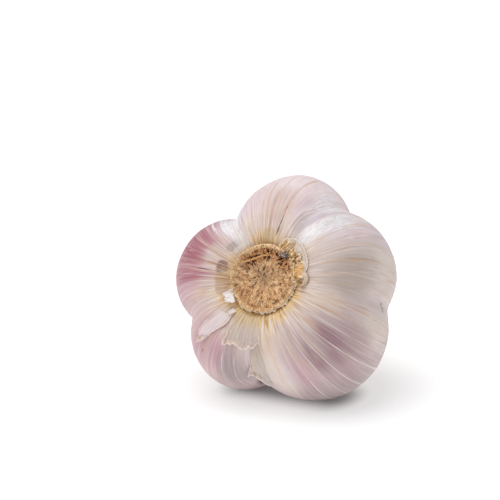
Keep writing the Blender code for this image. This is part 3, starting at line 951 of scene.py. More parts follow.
def pleat_fields(angle, share, look):
    """Height of the pleats by the roots, and how deep in a fold each place lies, 0 to 1."""
    count = look.pleats
    turn = angle / 360.0
    phase = turn * count + 0.55 * waves(turn, share * 9.0, count, 51)
    wave = 0.5 + 0.5 * np.cos(2.0 * math.pi * phase)
    uneven = 0.55 + 0.45 * waves(turn, 0.0, count, 58)
    reach = 0.088 + 0.035 * waves(turn, 0.0, count, 52)
    fade = smooth((reach - share) / 0.065)
    height = look.pleat_height * (wave - 0.5) * fade * uneven * (0.35 + 0.65 * teeth_strength(angle))
    return height, (1.0 - wave) * fade * uneven


def paint_skin(angle, share):
    """The colour of the skin at each place, without its veins, how satiny it is, which also sets where white
    glints are painted as highlights, and how fibrous, 0 to 1.
    """
    turn = angle / 360.0
    hair = waves(turn, share * 9.0, 420, 40)
    fine = waves(turn, share * 7.0, 230, 41)
    streak = waves(turn, share * 5.0, 96, 42)
    broad = waves(turn, share * 5.0, 30, 43)
    colour = np.zeros(angle.shape + (3,))
    total = np.zeros(angle.shape)
    for name, (clove_angle, *_) in CLOVES.items():
        weight = near(angle, clove_angle, 26.0)
        colour += weight[..., None] * light(CLOVE_TINTS[name])
        total += weight
    colour /= total[..., None]
    groove = smooth((0.93 - girth_outline(angle) / GIRTH) / 0.09)
    colour = painted(colour, ("lilac_white", 0.6 * groove))
    # Painted glints on the grooves of the upper side
    satin = 0.35 * groove * smooth(facing(angle, 90.0) / 0.6)
    for s in (stain for stain in STAINS if stain not in FILMS):
        away = np.sqrt((apart(angle, s.angle) / s.wide) ** 2 + ((share - s.share) / s.long) ** 2)
        stray = np.maximum(0.35, 1.0 + s.streaks * (0.15 * hair + 0.3 * fine + 0.35 * streak))
        amount = s.strength * smooth((1.25 - (away * stray + 0.10 * broad)) / 0.95)
        colour = painted(colour, (s.tint, amount))
        # Painted highlights: the white stains also set where glints are painted
        if s.tint == "pearl":
            satin = np.maximum(satin, amount)
    cream = smooth((0.145 + 0.04 * broad + 0.02 * fine - share) / 0.12)
    warm = smooth((0.30 + 0.06 * streak - share) / 0.2) * near(angle, 287.0, 14.0)
    long_streaks = smooth((hair + 0.5 * fine - 0.35) / 0.4) * smooth((0.20 + 0.08 * streak - share) / 0.10)
    neck = smooth((share - 0.80 - 0.05 * broad - 0.05 * streak) / 0.12)
    colour = painted(
        colour,
        ("ivory", 0.10 * smooth((fine + 0.6 * hair - 0.1) / 0.7)),
        ("beige", 0.08 * smooth((streak - 0.3 * fine) / 0.8)),
        ("cream", 0.8 * cream * (1.0 - satin)),
        ("warm_cream", 0.75 * warm),
        ("orange", 0.5 * long_streaks * teeth_strength(angle)),
        ("neck_gold", 0.75 * neck),
    )
    fibrous = 0.25 + 0.75 * smooth((0.15 - share) / 0.07)
    for middle, reach, most in FIBROUS_SIDES:
        fibrous = np.maximum(fibrous, most * near(angle, middle, reach))
    return colour, satin, fibrous


def gild_pleats(colour, angle, share, look):
    """Gold in the folds by the roots, darkest deep in the folds as painted shade, over films that show there,
    and painted light close to the plate where its edge shades the skin.
    """
    strong = teeth_strength(angle)
    _, fold = pleat_fields(angle, share, look)
    turn = angle / 360.0
    gold = smooth((0.092 + 0.022 * waves(turn, 0.0, look.pleats, 53) - share) / 0.05)
    films = []
    for s in FILMS:
        away = np.abs(apart(angle, s.angle) / s.wide) ** 3 + np.abs((share - s.share) / s.long) ** 3
        ragged = 0.14 * waves(turn, share * 34.0, 56, 54) + 0.06 * waves(turn, share * 60.0, 190, 50)
        films.append((s.tint, s.strength * smooth((1.05 - (away ** (1 / 3) + ragged)) / 0.22)))
        gold = gold * (1.0 - films[-1][1])
    glow = smooth((0.068 + 0.025 * waves(turn, share * 8.0, 40, 59) - share) / 0.05)
    thread = waves(turn, share * 12.0, 240, 60)
    tan = smooth((facing(angle, 172.0) - 0.72) / 0.2) * smooth((0.032 - share) / 0.02)
    # Painted light where the edge of the plate shades the skin: less gold on the upper left, and light yellow
    # and cream close to the plate, partly the skin's own yellow and cream
    paler_painted_light = smooth((facing(angle, 138.0) - 0.6) / 0.3)
    yellow_and_painted_light = smooth((facing(angle, 285.0) - 0.3) / 0.4) * smooth((0.038 - share) / 0.02)
    cream = smooth((facing(angle, 150.0) - 0.8) / 0.12) * smooth((0.024 - share) / 0.012)
    return painted(
        colour,
        ("gold", 0.8 * glow * strong),
        # The folds are gold and darkest deep down: partly the pleats' own gold, partly painted shade in the
        # folds
        ("gold", 0.9 * smooth((fold - 0.2) / 0.35) * gold * strong),
        ("dark_gold", 0.75 * smooth((fold - 0.55) / 0.3) * gold * strong),
        ("dark_gold", 0.6 * smooth((thread - 0.25) / 0.35) * gold * strong),
        ("ivory", 0.6 * smooth((-0.35 - thread) / 0.3) * gold),
        *films,
        ("tan_film", 0.35 * tan),
        ("gold", 0.7 * (1.0 - 0.8 * paler_painted_light) * smooth((0.018 - share) / 0.016)),
        ((0.99, 0.87, 0.60), 0.65 * yellow_and_painted_light),
        ((1.0, 0.93, 0.78), 0.6 * cream),
    )


def skin_relief(angle, share, look):
    """Height of the skin's own relief: the rise to the roots, pleats, fibres, veins and dents."""
    pleat, _ = pleat_fields(angle, share, look)
    gap, strength, _ = vein_fields(angle, share, look)
    depth, *_ = nick_fields(angle, share)
    turn = angle / 360.0
    fibres = 0.025 * waves(turn, share * 4.0, 120, 61) + 0.015 * waves(turn, share * 6.0, 250, 62)
    rib = look.rib_height * waves(turn, share * 2.5, 44, 64)
    dent = 0.15 * waves(turn, share * 10.0, 18, 63)
    body = smooth((share - 0.04) / 0.12)
    vein = look.vein_height * strength * bell(gap, 0.0, 0.28)
    rise = look.rim_rise * smooth((0.075 - share) / 0.07)
    return rise + pleat + (fibres + rib + dent) * body + vein - depth


class SkinLook(bpy.types.PropertyGroup):
    columns: bpy.props.IntProperty(
        name="Columns", description="Vertices round the skin", default=576, min=60, max=600)
    rows: bpy.props.IntProperty(
        name="Rows", description="Vertices along the skin", default=160, min=40, max=165)
    seed: bpy.props.IntProperty(name="Seed", description="Picks the strewn veins", default=5, min=0)
    vein_height: bpy.props.FloatProperty(
        name="Vein height", description="How far a vein stands up, in mm", default=0.08, min=0.0, max=0.5)
    vein_width: bpy.props.FloatProperty(
        name="Vein width", description="Half the width of a vein's tint, in mm", default=0.27, min=0.1,
        max=1.0)
    rib_height: bpy.props.FloatProperty(
        name="Rib height", description="Height of the broad ribs, in mm", default=0.05, min=0.0, max=0.5)
    rim_rise: bpy.props.FloatProperty(
        name="Rim rise", description="How far the skin swells up to the root plate, in mm", default=1.0,
        min=0.0, max=1.5)
    pleats: bpy.props.IntProperty(
        name="Pleats", description="Pleats round the root plate", default=58, min=12, max=90)
    pleat_height: bpy.props.FloatProperty(
        name="Pleat height", description="From fold to ridge, in mm", default=0.36, min=0.0, max=1.0)
    relief: bpy.props.FloatProperty(
        name="Fibre relief", description="Strength of the fine fibres", default=0.5, min=0.0, max=1.0)
    glow: bpy.props.FloatProperty(
        name="Glow", description="How much light seeps through the skin", default=0.15, min=0.0, max=1.0)


class GARLIC_OT_skin(bpy.types.Operator):
    """Wraps the cloves in their papery skin"""

    bl_idname = "garlic.skin"
    bl_label = "Skin"

    def execute(self, context):
        look = context.scene.garlic_skin
        columns, rows = look.columns, look.rows
        angle, share = np.meshgrid(turns(columns), np.linspace(0.0, 1.0, rows) ** ROW_SPREAD)
        gap, strength, vein_tint = vein_fields(angle, share, look)
        _, nicked, nick_tint = nick_fields(angle, share)
        colour, satin, fibrous = paint_skin(angle, share)
        colour = blend(gild_pleats(colour, angle, share, look), nick_tint, nicked)
        skin = skin_place(angle, share, skin_relief(angle, share, look)).reshape(-1, 3)
        before = [upright(angle[0], *place) for place in RECESS]
        after = [upright(angle[0], *place) for place in SOCKET]
        grain = round_grain(angle, GIRTH, share * CREST_LENGTH)

        def padded(values, first, last):
            """The values of the skin, with constant ones for the rings before and after it."""
            values = values.reshape(rows * columns, -1)
            return np.vstack([
                np.tile(first, (len(before) * columns, 1)), values, np.tile(last, (len(after) * columns, 1))])

        # The closing rings are painted dark: umber under the root plate and a darkened straw inside the neck,
        # as painted shade in these hollows
        dark, straw = light("umber"), light("neck_gold") * 0.6
        make_solid(
            "papery_skin", np.vstack([*before, skin, *after]),
            tube_faces(len(before) + rows + len(after), columns), skin_material(look), "bulb_skin",
            {"tint": padded(colour, dark, straw), "vein_tint": padded(vein_tint, dark, straw)},
            padded(grain, (0.0, 0.0, 0.0), (0.0, 0.0, CREST_LENGTH)), ["bulb"],
            {
                "vein_gap": padded(gap, 5.0, 5.0), "vein_strength": padded(strength, 0.0, 0.0),
                "satin": padded(satin, 0.0, 0.0), "fibrous": padded(fibrous, 1.0, 1.0),
            },
        )
        return {"FINISHED"}


# The root plate


def band_edge(angle):
    """Where the band of crumbs ends, towards the edge of the root plate."""
    return 8.0 - 0.6 * np.sin(np.radians(apart(angle, 80.0)))


def crumb_band(angle, distance):
    """The band of crumbs near the upper edge, 0 to 1."""
    aside = np.abs(apart(angle, 88.0)) / 62.0
    return smooth((1.15 - aside) / 0.35) * bell(distance - band_edge(angle), -1.4, 1.6, 4)


def crust_reach(angle):
    """How far the root plate reaches, round its edge."""
    turn = np.asarray(angle) / 360.0
    return PLATE_RADIUS - 0.1 + 0.22 * waves(turn, 0.0, 9, 77) + 0.10 * waves(turn, 0.0, 60, 75)


def crust_height(angle, distance):
    """Height of the crusted face: a thin raised edge, a rough band along the top, fibres that run out."""
    turn = np.asarray(angle) / 360.0
    x, y = flat(angle, distance)
    edge = 0.15 + 0.85 * smooth((facing(angle, 148.0) + 0.1) / 0.8)
    rim = edge * bell(distance, 8.7, 0.40) * (1.0 + 0.35 * waves(turn, 0.0, 70, 71))
    band = crumb_band(angle, distance)
    crumbs = 0.30 * plane_noise(x, y, 1.5, 72) + 0.30 * np.abs(plane_noise(x, y, 2.7, 73))
    rough = 0.10 * plane_noise(x, y, 0.8, 78) + 0.08 * plane_noise(x, y, 2.6, 79)
    fibres = 0.09 * waves(turn, distance * 0.9, 130, 74) * smooth(distance / 3.5)
    hollow = 0.35 * bell(distance, 7.3, 0.6) * smooth((facing(angle, 165.0) - 0.3) / 0.4)
    return PLATE_FACE - 0.15 - rim + hollow - rough - fibres * (1.0 - band) - (crumbs + 0.1) * band


def crust_pits(x, y, seed):
    """Small pits strewn over the plate: how deep each place lies in one, 0 to 1."""
    draw = np.random.default_rng(seed)
    depth = np.zeros_like(x)
    for _ in range(60):
        turn = draw.uniform(0.0, 2.0 * math.pi)
        distance = 8.0 * draw.uniform(0.0, 1.0) ** 0.62
        if math.sin(turn) * distance < -2.5 and draw.uniform() < 0.6:
            continue
        radius = draw.uniform(0.08, 0.24)
        long = draw.uniform(1.0, 1.9)
        dx, dy = x - distance * math.cos(turn), y - distance * math.sin(turn)
        out = dx * math.cos(turn) + dy * math.sin(turn)
        across = -dx * math.sin(turn) + dy * math.cos(turn)
        depth = np.maximum(depth, smooth(1.5 - np.hypot(out / long, across) / radius))
    return depth


def paint_crust(angle, distance, pit):
    """The colour of the crusted face."""
    turn = angle / 360.0
    x, y = flat(angle, distance)
    band = crumb_band(angle, distance)
    shelf = smooth((distance - band_edge(angle) - 0.05) / 0.4) * smooth((facing(angle, 130.0) - 0.1) / 0.5)
    dusky = np.exp(-(((x - 0.5) / 2.0) ** 2 + ((y + 0.4) / 1.5) ** 2))
    shaded = bell(distance, 8.0, 0.30) * smooth(facing(angle, 210.0) - 0.1)
    return painted(
        plain(angle, (0.92, 0.73, 0.53)),
        ((1.0, 0.80, 0.58), 0.85 * smooth((1.0 + 0.6 * x - y) / 6.0)),
        ((0.78, 0.62, 0.48), 0.7 * smooth((plane_noise(x, y, 0.42, 81) + 0.1) / 0.8)),
        ((0.98, 0.86, 0.68), 0.6 * smooth((waves(turn, distance * 0.7, 150, 82) - 0.1) / 0.5)),
        ((0.62, 0.45, 0.33), 0.5 * smooth((waves(turn, distance * 0.9, 110, 86) - 0.2) / 0.5)),
        ((0.55, 0.42, 0.35), 0.6 * smooth((plane_noise(x, y, 1.3, 85) - 0.35) / 0.3)),
        ((0.76, 0.55, 0.38), 0.85 * band),
        ((0.26, 0.18, 0.12), 0.95 * band * smooth((-plane_noise(x, y, 1.5, 72) - 0.05) / 0.35)),
        ((1.0, 0.88, 0.68), 0.95 * shelf),
        ((0.56, 0.40, 0.30), 0.6 * dusky),
        ((0.62, 0.44, 0.28), 0.4 * shaded),
        ((1.0, 0.88, 0.70), 0.95 * bell(distance, 8.8, 0.45)),
        ((0.16, 0.10, 0.08), 0.9 * pit),
    )


class RootLook(bpy.types.PropertyGroup):
    columns: bpy.props.IntProperty(
        name="Columns", description="Vertices round the root plate", default=340, min=48, max=400)
    rings: bpy.props.IntProperty(
        name="Rings", description="Rings of vertices on the root plate", default=100, min=12, max=120)
    fibre_density: bpy.props.FloatProperty(
        name="Fibres", description="Ends of old roots in a square millimetre", default=4.5, min=0.0,
        max=8.0)
    crumb_density: bpy.props.FloatProperty(
        name="Crumbs", description="Crumbs in a square millimetre of the rough band", default=5.5,
        min=0.0, max=12.0)


class GARLIC_OT_root_crust(bpy.types.Operator):
    """Makes the pitted crust of the root plate and the ragged skirt round it"""

    bl_idname = "garlic.root_crust"
    bl_label = "Root crust"

    def execute(self, context):
        look = context.scene.garlic_root
        material = crust_material()
        columns, rings = look.columns, look.rings
        angle, spread = np.meshgrid(turns(columns), (np.arange(1, rings + 1) / rings) ** RING_SPREAD)
        reach = crust_reach(angle[0])
        distance = spread * reach
        pit = crust_pits(*flat(angle, distance), 76)
        height = crust_height(angle, distance) + 0.35 * pit
        face = on_plate(angle, distance, height).reshape(-1, 3)
        back = [on_plate(angle[-1], reach - 0.15, 0.2), upright(angle[-1], reach - 0.6, 2.4)]
        vertices = np.vstack([face, *back, on_plate(0.0, 0.0, height[0].mean())])
        centre = len(vertices) - 1
        faces = grid_faces(rings + 2, columns, True)
        faces += [[(i + 1) % columns, i, centre] for i in range(columns)]
        faces.append(list(range((rings + 1) * columns, (rings + 2) * columns)))
        hidden = (2 * columns + 1, 1)
        colour = paint_crust(angle, distance, pit).reshape(-1, 3)
        colour = np.vstack([colour, np.tile(linear((0.92, 0.76, 0.56)), hidden)])
        colour[-1] = colour[0]
        grain = np.vstack([round_grain(angle, 9, distance).reshape(-1, 3), np.tile((0.0, 0.0, 0.0), hidden)])
        make_solid(
            "root_crust", vertices, faces, material, "root_crust", {"tint": colour}, grain, ["root_plate"])

        columns, rings = SKIRT_GRID
        angle, out = np.meshgrid(turns(columns), np.linspace(0.0, 1.0, rings))
        turn = angle / 360.0
        jagged = 0.55 + 0.45 * waves(turn, 0.0, 150, 95) + 0.25 * waves(turn, 0.0, 61, 96)
        shown = 0.35 + 0.65 * near(angle, 305.0, 60.0)
        distance = crust_reach(angle) - 0.35 + out * (0.35 + 0.85 * shown * np.clip(jagged, 0.1, 1.2))
        height = PLATE_FACE + 0.05 + 0.45 * out + 0.16 * waves(turn, out * 2.0, 110, 97) * out
        pale = smooth((out - 0.25 + 0.4 * waves(turn, out * 3.0, 140, 98)) / 0.5)
        make_sheet(
            "root_skirt", on_plate(angle, distance, height), material, "root_crust",
            painted(plain(angle, (0.93, 0.81, 0.64)), ((0.99, 0.93, 0.86), pale)),
            round_grain(angle, 10, distance), 0.14, 1.0, closed=True)
        return {"FINISHED"}


def make_lip(material):
    """The pleated flap of crust, ragged and flaky, with a smooth pane at its lower end."""
    first, last = LIP_ANGLES
    columns, rings = LIP_GRID
    angle, out = np.meshgrid(np.linspace(first, last, columns), np.linspace(0.0, 1.0, rings))
    turn = angle / 360.0
    ends = smooth((angle - first) / 6.0) * smooth((last - angle) / 9.0)
    upper = smooth((angle - 46.0) / 10.0)
    pane = bell(angle, 17.0, 8.5, 4) * smooth((out - 0.10) / 0.2)
    reach = (3.7 + 0.4 * upper) * ends
    reach = reach * (1.0 + 0.14 * waves(turn, 0.0, 70, 91) + 0.08 * waves(turn, 0.0, 190, 92))
    distance = LIP_START + reach * out
    phase = angle / 6.0 + 0.9 * waves(turn, out * 1.5, 48, 93) + 0.25 * waves(turn, out * 5.0, 120, 89)
    fold = np.abs((phase % 1.0) * 2.0 - 1.0)
    flakes = waves(turn, out * 6.0, 95, 94) * (1.0 - upper)
    calm = 1.0 - 0.9 * pane
    relief = (0.75 * (fold - 0.5) * (0.4 + 0.6 * upper) + 0.5 * flakes) * calm
    relief = relief + 0.08 * waves(turn, out * 3.0, 200, 90)
    height = -1.5 - 0.5 * smooth(out * 1.6) + 0.45 * out - relief * ends * smooth(out / 0.12)
    # Painted light and shade, partly the crust's own colours: the raised ridges are cream, the sunken folds
    # and flakes dark, and near 3.5 degrees is a painted fold shadow
    ridges = smooth((fold * (0.5 + 0.5 * upper) + 0.8 * flakes - 0.30) / 0.3)
    colour = painted(
        plain(angle, (0.90, 0.73, 0.50)),
        ((0.94, 0.74, 0.46), 0.9 * pane),
        ((0.99, 0.92, 0.80), ridges * calm),
        ((0.36, 0.23, 0.14), 0.9 * smooth((0.22 - fold) / 0.2) * calm * (1.0 - 0.6 * out)),
        ((0.32, 0.20, 0.12), 0.85 * smooth((-0.35 - flakes) / 0.2) * calm * (1.0 - 0.7 * out)),
        ((0.45, 0.30, 0.20), 0.6 * bell(angle, 3.5, 2.2) * smooth(out / 0.3)),
        ((0.98, 0.93, 0.84), 0.8 * smooth((out - 0.86) / 0.12)),
    )
    make_sheet(
        "root_lip", on_plate(angle, distance, height), material, "root_crust", colour,
        round_grain(angle, 13, distance), 0.18, 1.0)


def make_collar(material, skin):
    """The thin skin that lies round the outside of the lip."""
    marks, shares = zip(*COLLAR_OUTLINE)
    columns, rings = COLLAR_GRID
    angle, out = np.meshgrid(np.linspace(marks[0], marks[-1], columns), np.linspace(0.0, 1.0, rings))
    turn = angle / 360.0
    ragged = 1.0 + 0.03 * waves(turn[0], 0.0, 40, 121) + 0.015 * waves(turn[0], 0.0, 150, 120)
    share = 0.004 + (np.interp(angle[0], marks, shares) * ragged - 0.004) * out
    lift = 0.15 + 0.25 * out**8 + 0.10 * waves(turn, out * 4.0, 90, 122)
    place = skin_place(angle, share, np.maximum(0.1, lift) + skin_relief(angle, share, skin))
    colour = painted(
        plain(angle, (0.98, 0.91, 0.85)),
        ((0.86, 0.72, 0.54), 0.5 * smooth((waves(turn, out * 2.0, 130, 123) - 0.1) / 0.5) * (1.0 - out)),
        ((0.62, 0.45, 0.32), 0.6 * bell(out, 0.90, 0.03)),
        ((0.99, 0.95, 0.90), smooth((out - 0.93) / 0.05)),
    )
    grain = round_grain(angle, GIRTH, share * CREST_LENGTH)
    make_sheet("lip_collar", place, material, "torn_skin", colour, grain, 0.12)


def make_curl(material):
    """The rolled end of the collar."""
    roll, along = unit_grid(*CURL_GRID)
    radius = 0.72 * (1.0 - 0.45 * roll) * (1.0 + 0.25 * waves(along / 3.0, roll * 2.0, 12, 124))
    turned = 0.2 + 4.9 * roll
    place = on_plate(
        13.0 - 16.0 * along - 5.0 * roll * along,
        11.7 + 0.7 * np.sin(along * math.pi) + np.cos(turned) * radius,
        -1.5 - np.sin(turned) * radius + 0.22 * waves(roll / 3.0, along * 5.0, 14, 125))
    colour = painted(
        plain(roll, (0.95, 0.87, 0.78)),
        ((0.78, 0.66, 0.54), 0.8 * along + 0.3 * roll),
        ((0.50, 0.36, 0.28), 0.7 * smooth((np.abs(roll - 0.5) - 0.42) / 0.06)),
    )
    grain = np.stack([roll * 4.0, 0.0 * roll, along * 3.0], -1)
    make_sheet("lip_curl", place, material, "torn_skin", colour, grain, 0.14)


class GARLIC_OT_root_lip(bpy.types.Operator):
    """Makes the pleated flap of crust at the upper right of the root plate, with its collar and curled end"""

    bl_idname = "garlic.root_lip"
    bl_label = "Root lip"

    def execute(self, context):
        make_lip(bpy.data.objects["root_crust"].data.materials[0])
        material = torn_material(context.scene.garlic_sheets)
        make_collar(material, context.scene.garlic_skin)
        make_curl(material)
        return {"FINISHED"}


def scatter_tree(name, shape):
    """Geometry nodes that strew strands or crumbs over a surface, where and how its attributes say."""
    tree = bpy.data.node_groups.new(name, "GeometryNodeTree")
    face = tree.interface
    face.new_socket("Geometry", in_out="INPUT", socket_type="NodeSocketGeometry")
    for label in ("Density", "Radius", "Length", "Lean"):
        face.new_socket(label, in_out="INPUT", socket_type="NodeSocketFloat").min_value = 0.0
    face.new_socket("Seed", in_out="INPUT", socket_type="NodeSocketInt")
    face.new_socket("Material", in_out="INPUT", socket_type="NodeSocketMaterial")
    face.new_socket("Geometry", in_out="OUTPUT", socket_type="NodeSocketGeometry")

    def node(kind, settings=None, **inputs):
        return add_node(tree, kind, settings, **inputs).outputs

    def times(first, second):
        return node("ShaderNodeMath", {"operation": "MULTIPLY"}, _0=first, _1=second)[0]

    def carried(kind, key):
        return node("GeometryNodeInputNamedAttribute", {"data_type": kind}, Name=key)["Attribute"]

    given = node("NodeGroupInput")
    density = times(given["Density"], carried("FLOAT", "strewn"))
    points = node(
        "GeometryNodeDistributePointsOnFaces", {"distribute_method": "RANDOM"}, Mesh=given["Geometry"],
        Density=density, Seed=given["Seed"])["Points"]
    if shape == "strand":
        sizes = (0.55, 1.35)
        body = node(
            "GeometryNodeMeshCone", {"fill_type": "NGON"}, Vertices=5, Side_Segments=2, Radius_Top=0.35,
            Radius_Bottom=1.0, Depth=1.0)["Mesh"]
    else:
        sizes = (0.45, 1.6)
        body = node("GeometryNodeMeshIcoSphere", Radius=1.0, Subdivisions=1)["Mesh"]
    wide, high, long = (
        node("FunctionNodeRandomValue", {"data_type": "FLOAT"}, _2=sizes[0], _3=sizes[1], Seed=seed)[1]
        for seed in (given["Seed"], 91, 92))
    scale = node(
        "ShaderNodeCombineXYZ", X=times(given["Radius"], wide), Y=times(given["Radius"], high),
        Z=times(given["Length"], long))[0]
    back = times(given["Lean"], -1.0)
    least = node("ShaderNodeCombineXYZ", X=back, Y=back, Z=0.0)[0]
    most = node("ShaderNodeCombineXYZ", X=given["Lean"], Y=given["Lean"], Z=2.0 * math.pi)[0]
    tilt = node("FunctionNodeRandomValue", {"data_type": "FLOAT_VECTOR"}, _0=least, _1=most, Seed=93)[0]
    laid = node(
        "FunctionNodeAlignRotationToVector", {"axis": "Z"}, Vector=carried("FLOAT_VECTOR", "lay"))[0]
    turned = node(
        "FunctionNodeRotateRotation", {"rotation_space": "LOCAL"}, Rotation=laid, Rotate_By=tilt)[0]
    placed = node(
        "GeometryNodeInstanceOnPoints", Points=points, Instance=body, Rotation=turned, Scale=scale)[0]
    real = node("GeometryNodeRealizeInstances", Geometry=placed)[0]
    done = node("GeometryNodeSetMaterial", Geometry=real, Material=given["Material"])[0]
    add_node(tree, "NodeGroupOutput", _0=done)
    return tree


def strew(name, shape, surface, where, lay, material, slot, **values):
    """Runs the scatter nodes on a copy of a piece's surface and keeps the result as a plain mesh."""
    base = surface.data.copy()
    store(base, "strewn", where)
    store(base, "lay", lay, "FLOAT_VECTOR", "vector")
    carrier = add_object(name + "_carrier", base)
    tree = scatter_tree(name, shape)
    modifier = carrier.modifiers.new(name, "NODES")
    modifier.node_group = tree
    values["Material"] = material
    for item in tree.interface.items_tree:
        if item.in_out == "INPUT" and item.name in values:
            modifier[item.identifier] = values[item.name]
    shaped = carrier.evaluated_get(bpy.context.evaluated_depsgraph_get())
    mesh = bpy.data.meshes.new_from_object(shaped)
    carrier.modifiers.remove(modifier)
    bpy.data.objects.remove(carrier)
    mesh.name = name
    mesh.materials.clear()
    mesh.materials.append(material)
    if shape == "strand":
        mesh.shade_smooth()
    add_piece(name, mesh)


def make_sliver(material):
    """The loose root that lies along the upper edge of the plate."""
    steps, sides = SLIVER_GRID
    way, turn = np.meshgrid(
        np.linspace(0.0, 1.0, steps), np.arange(sides) / sides * 2 * math.pi, indexing="ij")
    marks = np.linspace(0.0, 1.0, len(SLIVER_PATH))
    bend, middle, height = (np.interp(way, marks, line) for line in zip(*SLIVER_PATH))
    thick = 0.36 * (1.0 - 0.5 * way) * (1.0 + 0.15 * waves(way, way * 3.0, 14, 131))
    thick = thick * smooth(way / 0.04 + 0.3)
    place = on_plate(bend, middle + np.cos(turn) * thick * 1.15, height + np.sin(turn) * thick)
    colour = painted(plain(way, (0.80, 0.58, 0.38)), ((0.92, 0.70, 0.45), smooth(way * 1.6)))
    grain = np.stack([np.cos(turn) * 1.5, np.sin(turn) * 1.5, way * 8.0], -1)
    make_solid(
        "root_sliver", place, tube_faces(steps, sides), material, "root_crust", {"tint": colour}, grain)


def make_clod(material):
    """The grey clod of soil."""
    rings, columns = CLOD_GRID
    turn, rise = np.meshgrid(
        np.linspace(0.0, 2 * math.pi, columns + 1)[:-1], np.linspace(0.0, math.pi, rings + 2)[1:-1])
    around = turn / (2 * math.pi)
    lump = 1.0 + 0.30 * waves(around, rise * 2.0, 7, 141) + 0.12 * waves(around, rise * 5.0, 15, 142)
    wide, high, deep = CLOD_SIZE
    clod = upright(*CLOD_PLACE) + np.stack([
        wide * lump * np.cos(turn) * np.sin(rise), high * lump * np.sin(turn) * np.sin(rise),
        deep * np.cos(rise)], -1)
    shade = 1.0 + 0.5 * waves(around, rise * 3.0, 12, 143)
    tint = plain(turn, (0.46, 0.42, 0.40)) * shade[..., None]
    make_solid("root_clod", clod, tube_faces(rings, columns), material, "root_crust", {"tint": tint}, clod)


class GARLIC_OT_root_fibres(bpy.types.Operator):
    """Strews ends of old roots and crumbs over the root crust"""

    bl_idname = "garlic.root_fibres"
    bl_label = "Root fibres and crumbs"

    def execute(self, context):
        look = context.scene.garlic_root
        crust = bpy.data.objects["root_crust"]
        flat_places = np.empty(len(crust.data.vertices) * 3, np.float32)
        crust.data.vertices.foreach_get("co", flat_places)
        place = leaned(flat_places.reshape(-1, 3) / MM - np.array(AXIS_ORIGIN), 90.0 + TIPPED_UP)
        x, y, z = (place - np.array(PLATE_SHIFT)).T
        distance = np.hypot(x, y)
        angle = np.degrees(np.arctan2(-y, x)) % 360.0
        front = (z < 0.0) & (distance < 8.9)
        band = crumb_band(angle, distance)
        origin = to_frame(np.zeros(3))
        away = to_frame(upright(angle, 1.0, 0.0)) - origin
        outward = to_frame(np.array([0.0, 0.0, -1.0])) - origin
        lays = {
            "strand": (away * 0.95 + outward * 0.36) / MM, "crumb": np.tile(outward / MM, (len(x), 1))}
        outer = 0.4 + 0.6 * smooth((distance - 1.5) / 5.0)
        low = 0.35 + 0.65 * smooth((1.0 + y) / 6.0)
        rim = bell(distance, 8.6, 0.35) * smooth(facing(angle, 120.0) / 0.5)
        spread = {
            "root_fibres": ((1.0 - band) * outer * low, look.fibre_density),
            "root_crumbs": (band, look.crumb_density),
            "rim_beads": (rim, BEAD_DENSITY),
            "plate_grit": (1.0 - band, GRIT_DENSITY),
        }
        for name, (where, density) in spread.items():
            bit = BITS[name]
            strew(
                name, bit.shape, crust, front * where, lays[bit.shape],
                mottled_material(bit.material, bit.colour, bit.other, bit.cells, *bit.ramp), "root_crust",
                Density=density * 1e6, Radius=bit.radius * MM, Length=bit.length * MM, Lean=bit.lean,
                Seed=bit.seed)
        material = crust.data.materials[0]
        make_sliver(material)
        make_clod(material)
        return {"FINISHED"}


# Torn skins


class SheetLook(bpy.types.PropertyGroup):
    glow: bpy.props.FloatProperty(
        name="Glow", description="How much light seeps through a torn skin", default=0.25, min=0.0,
        max=1.0)
    thickness: bpy.props.FloatProperty(
        name="Thickness", description="Thickness of a torn skin, in mm", default=0.12, min=0.05, max=0.6)


def along_line(line, way):
    """Angle and share at each way, 0 to 1, along a line of places, and straight on past its end."""
    steps = np.linspace(0.0, 1.0, len(line))
    beyond = np.maximum(0.0, way - 1.0)
    return [
        np.interp(way, steps, marks) + beyond * (marks[-1] - marks[-2]) * (len(line) - 1)
        for marks in zip(*line)]


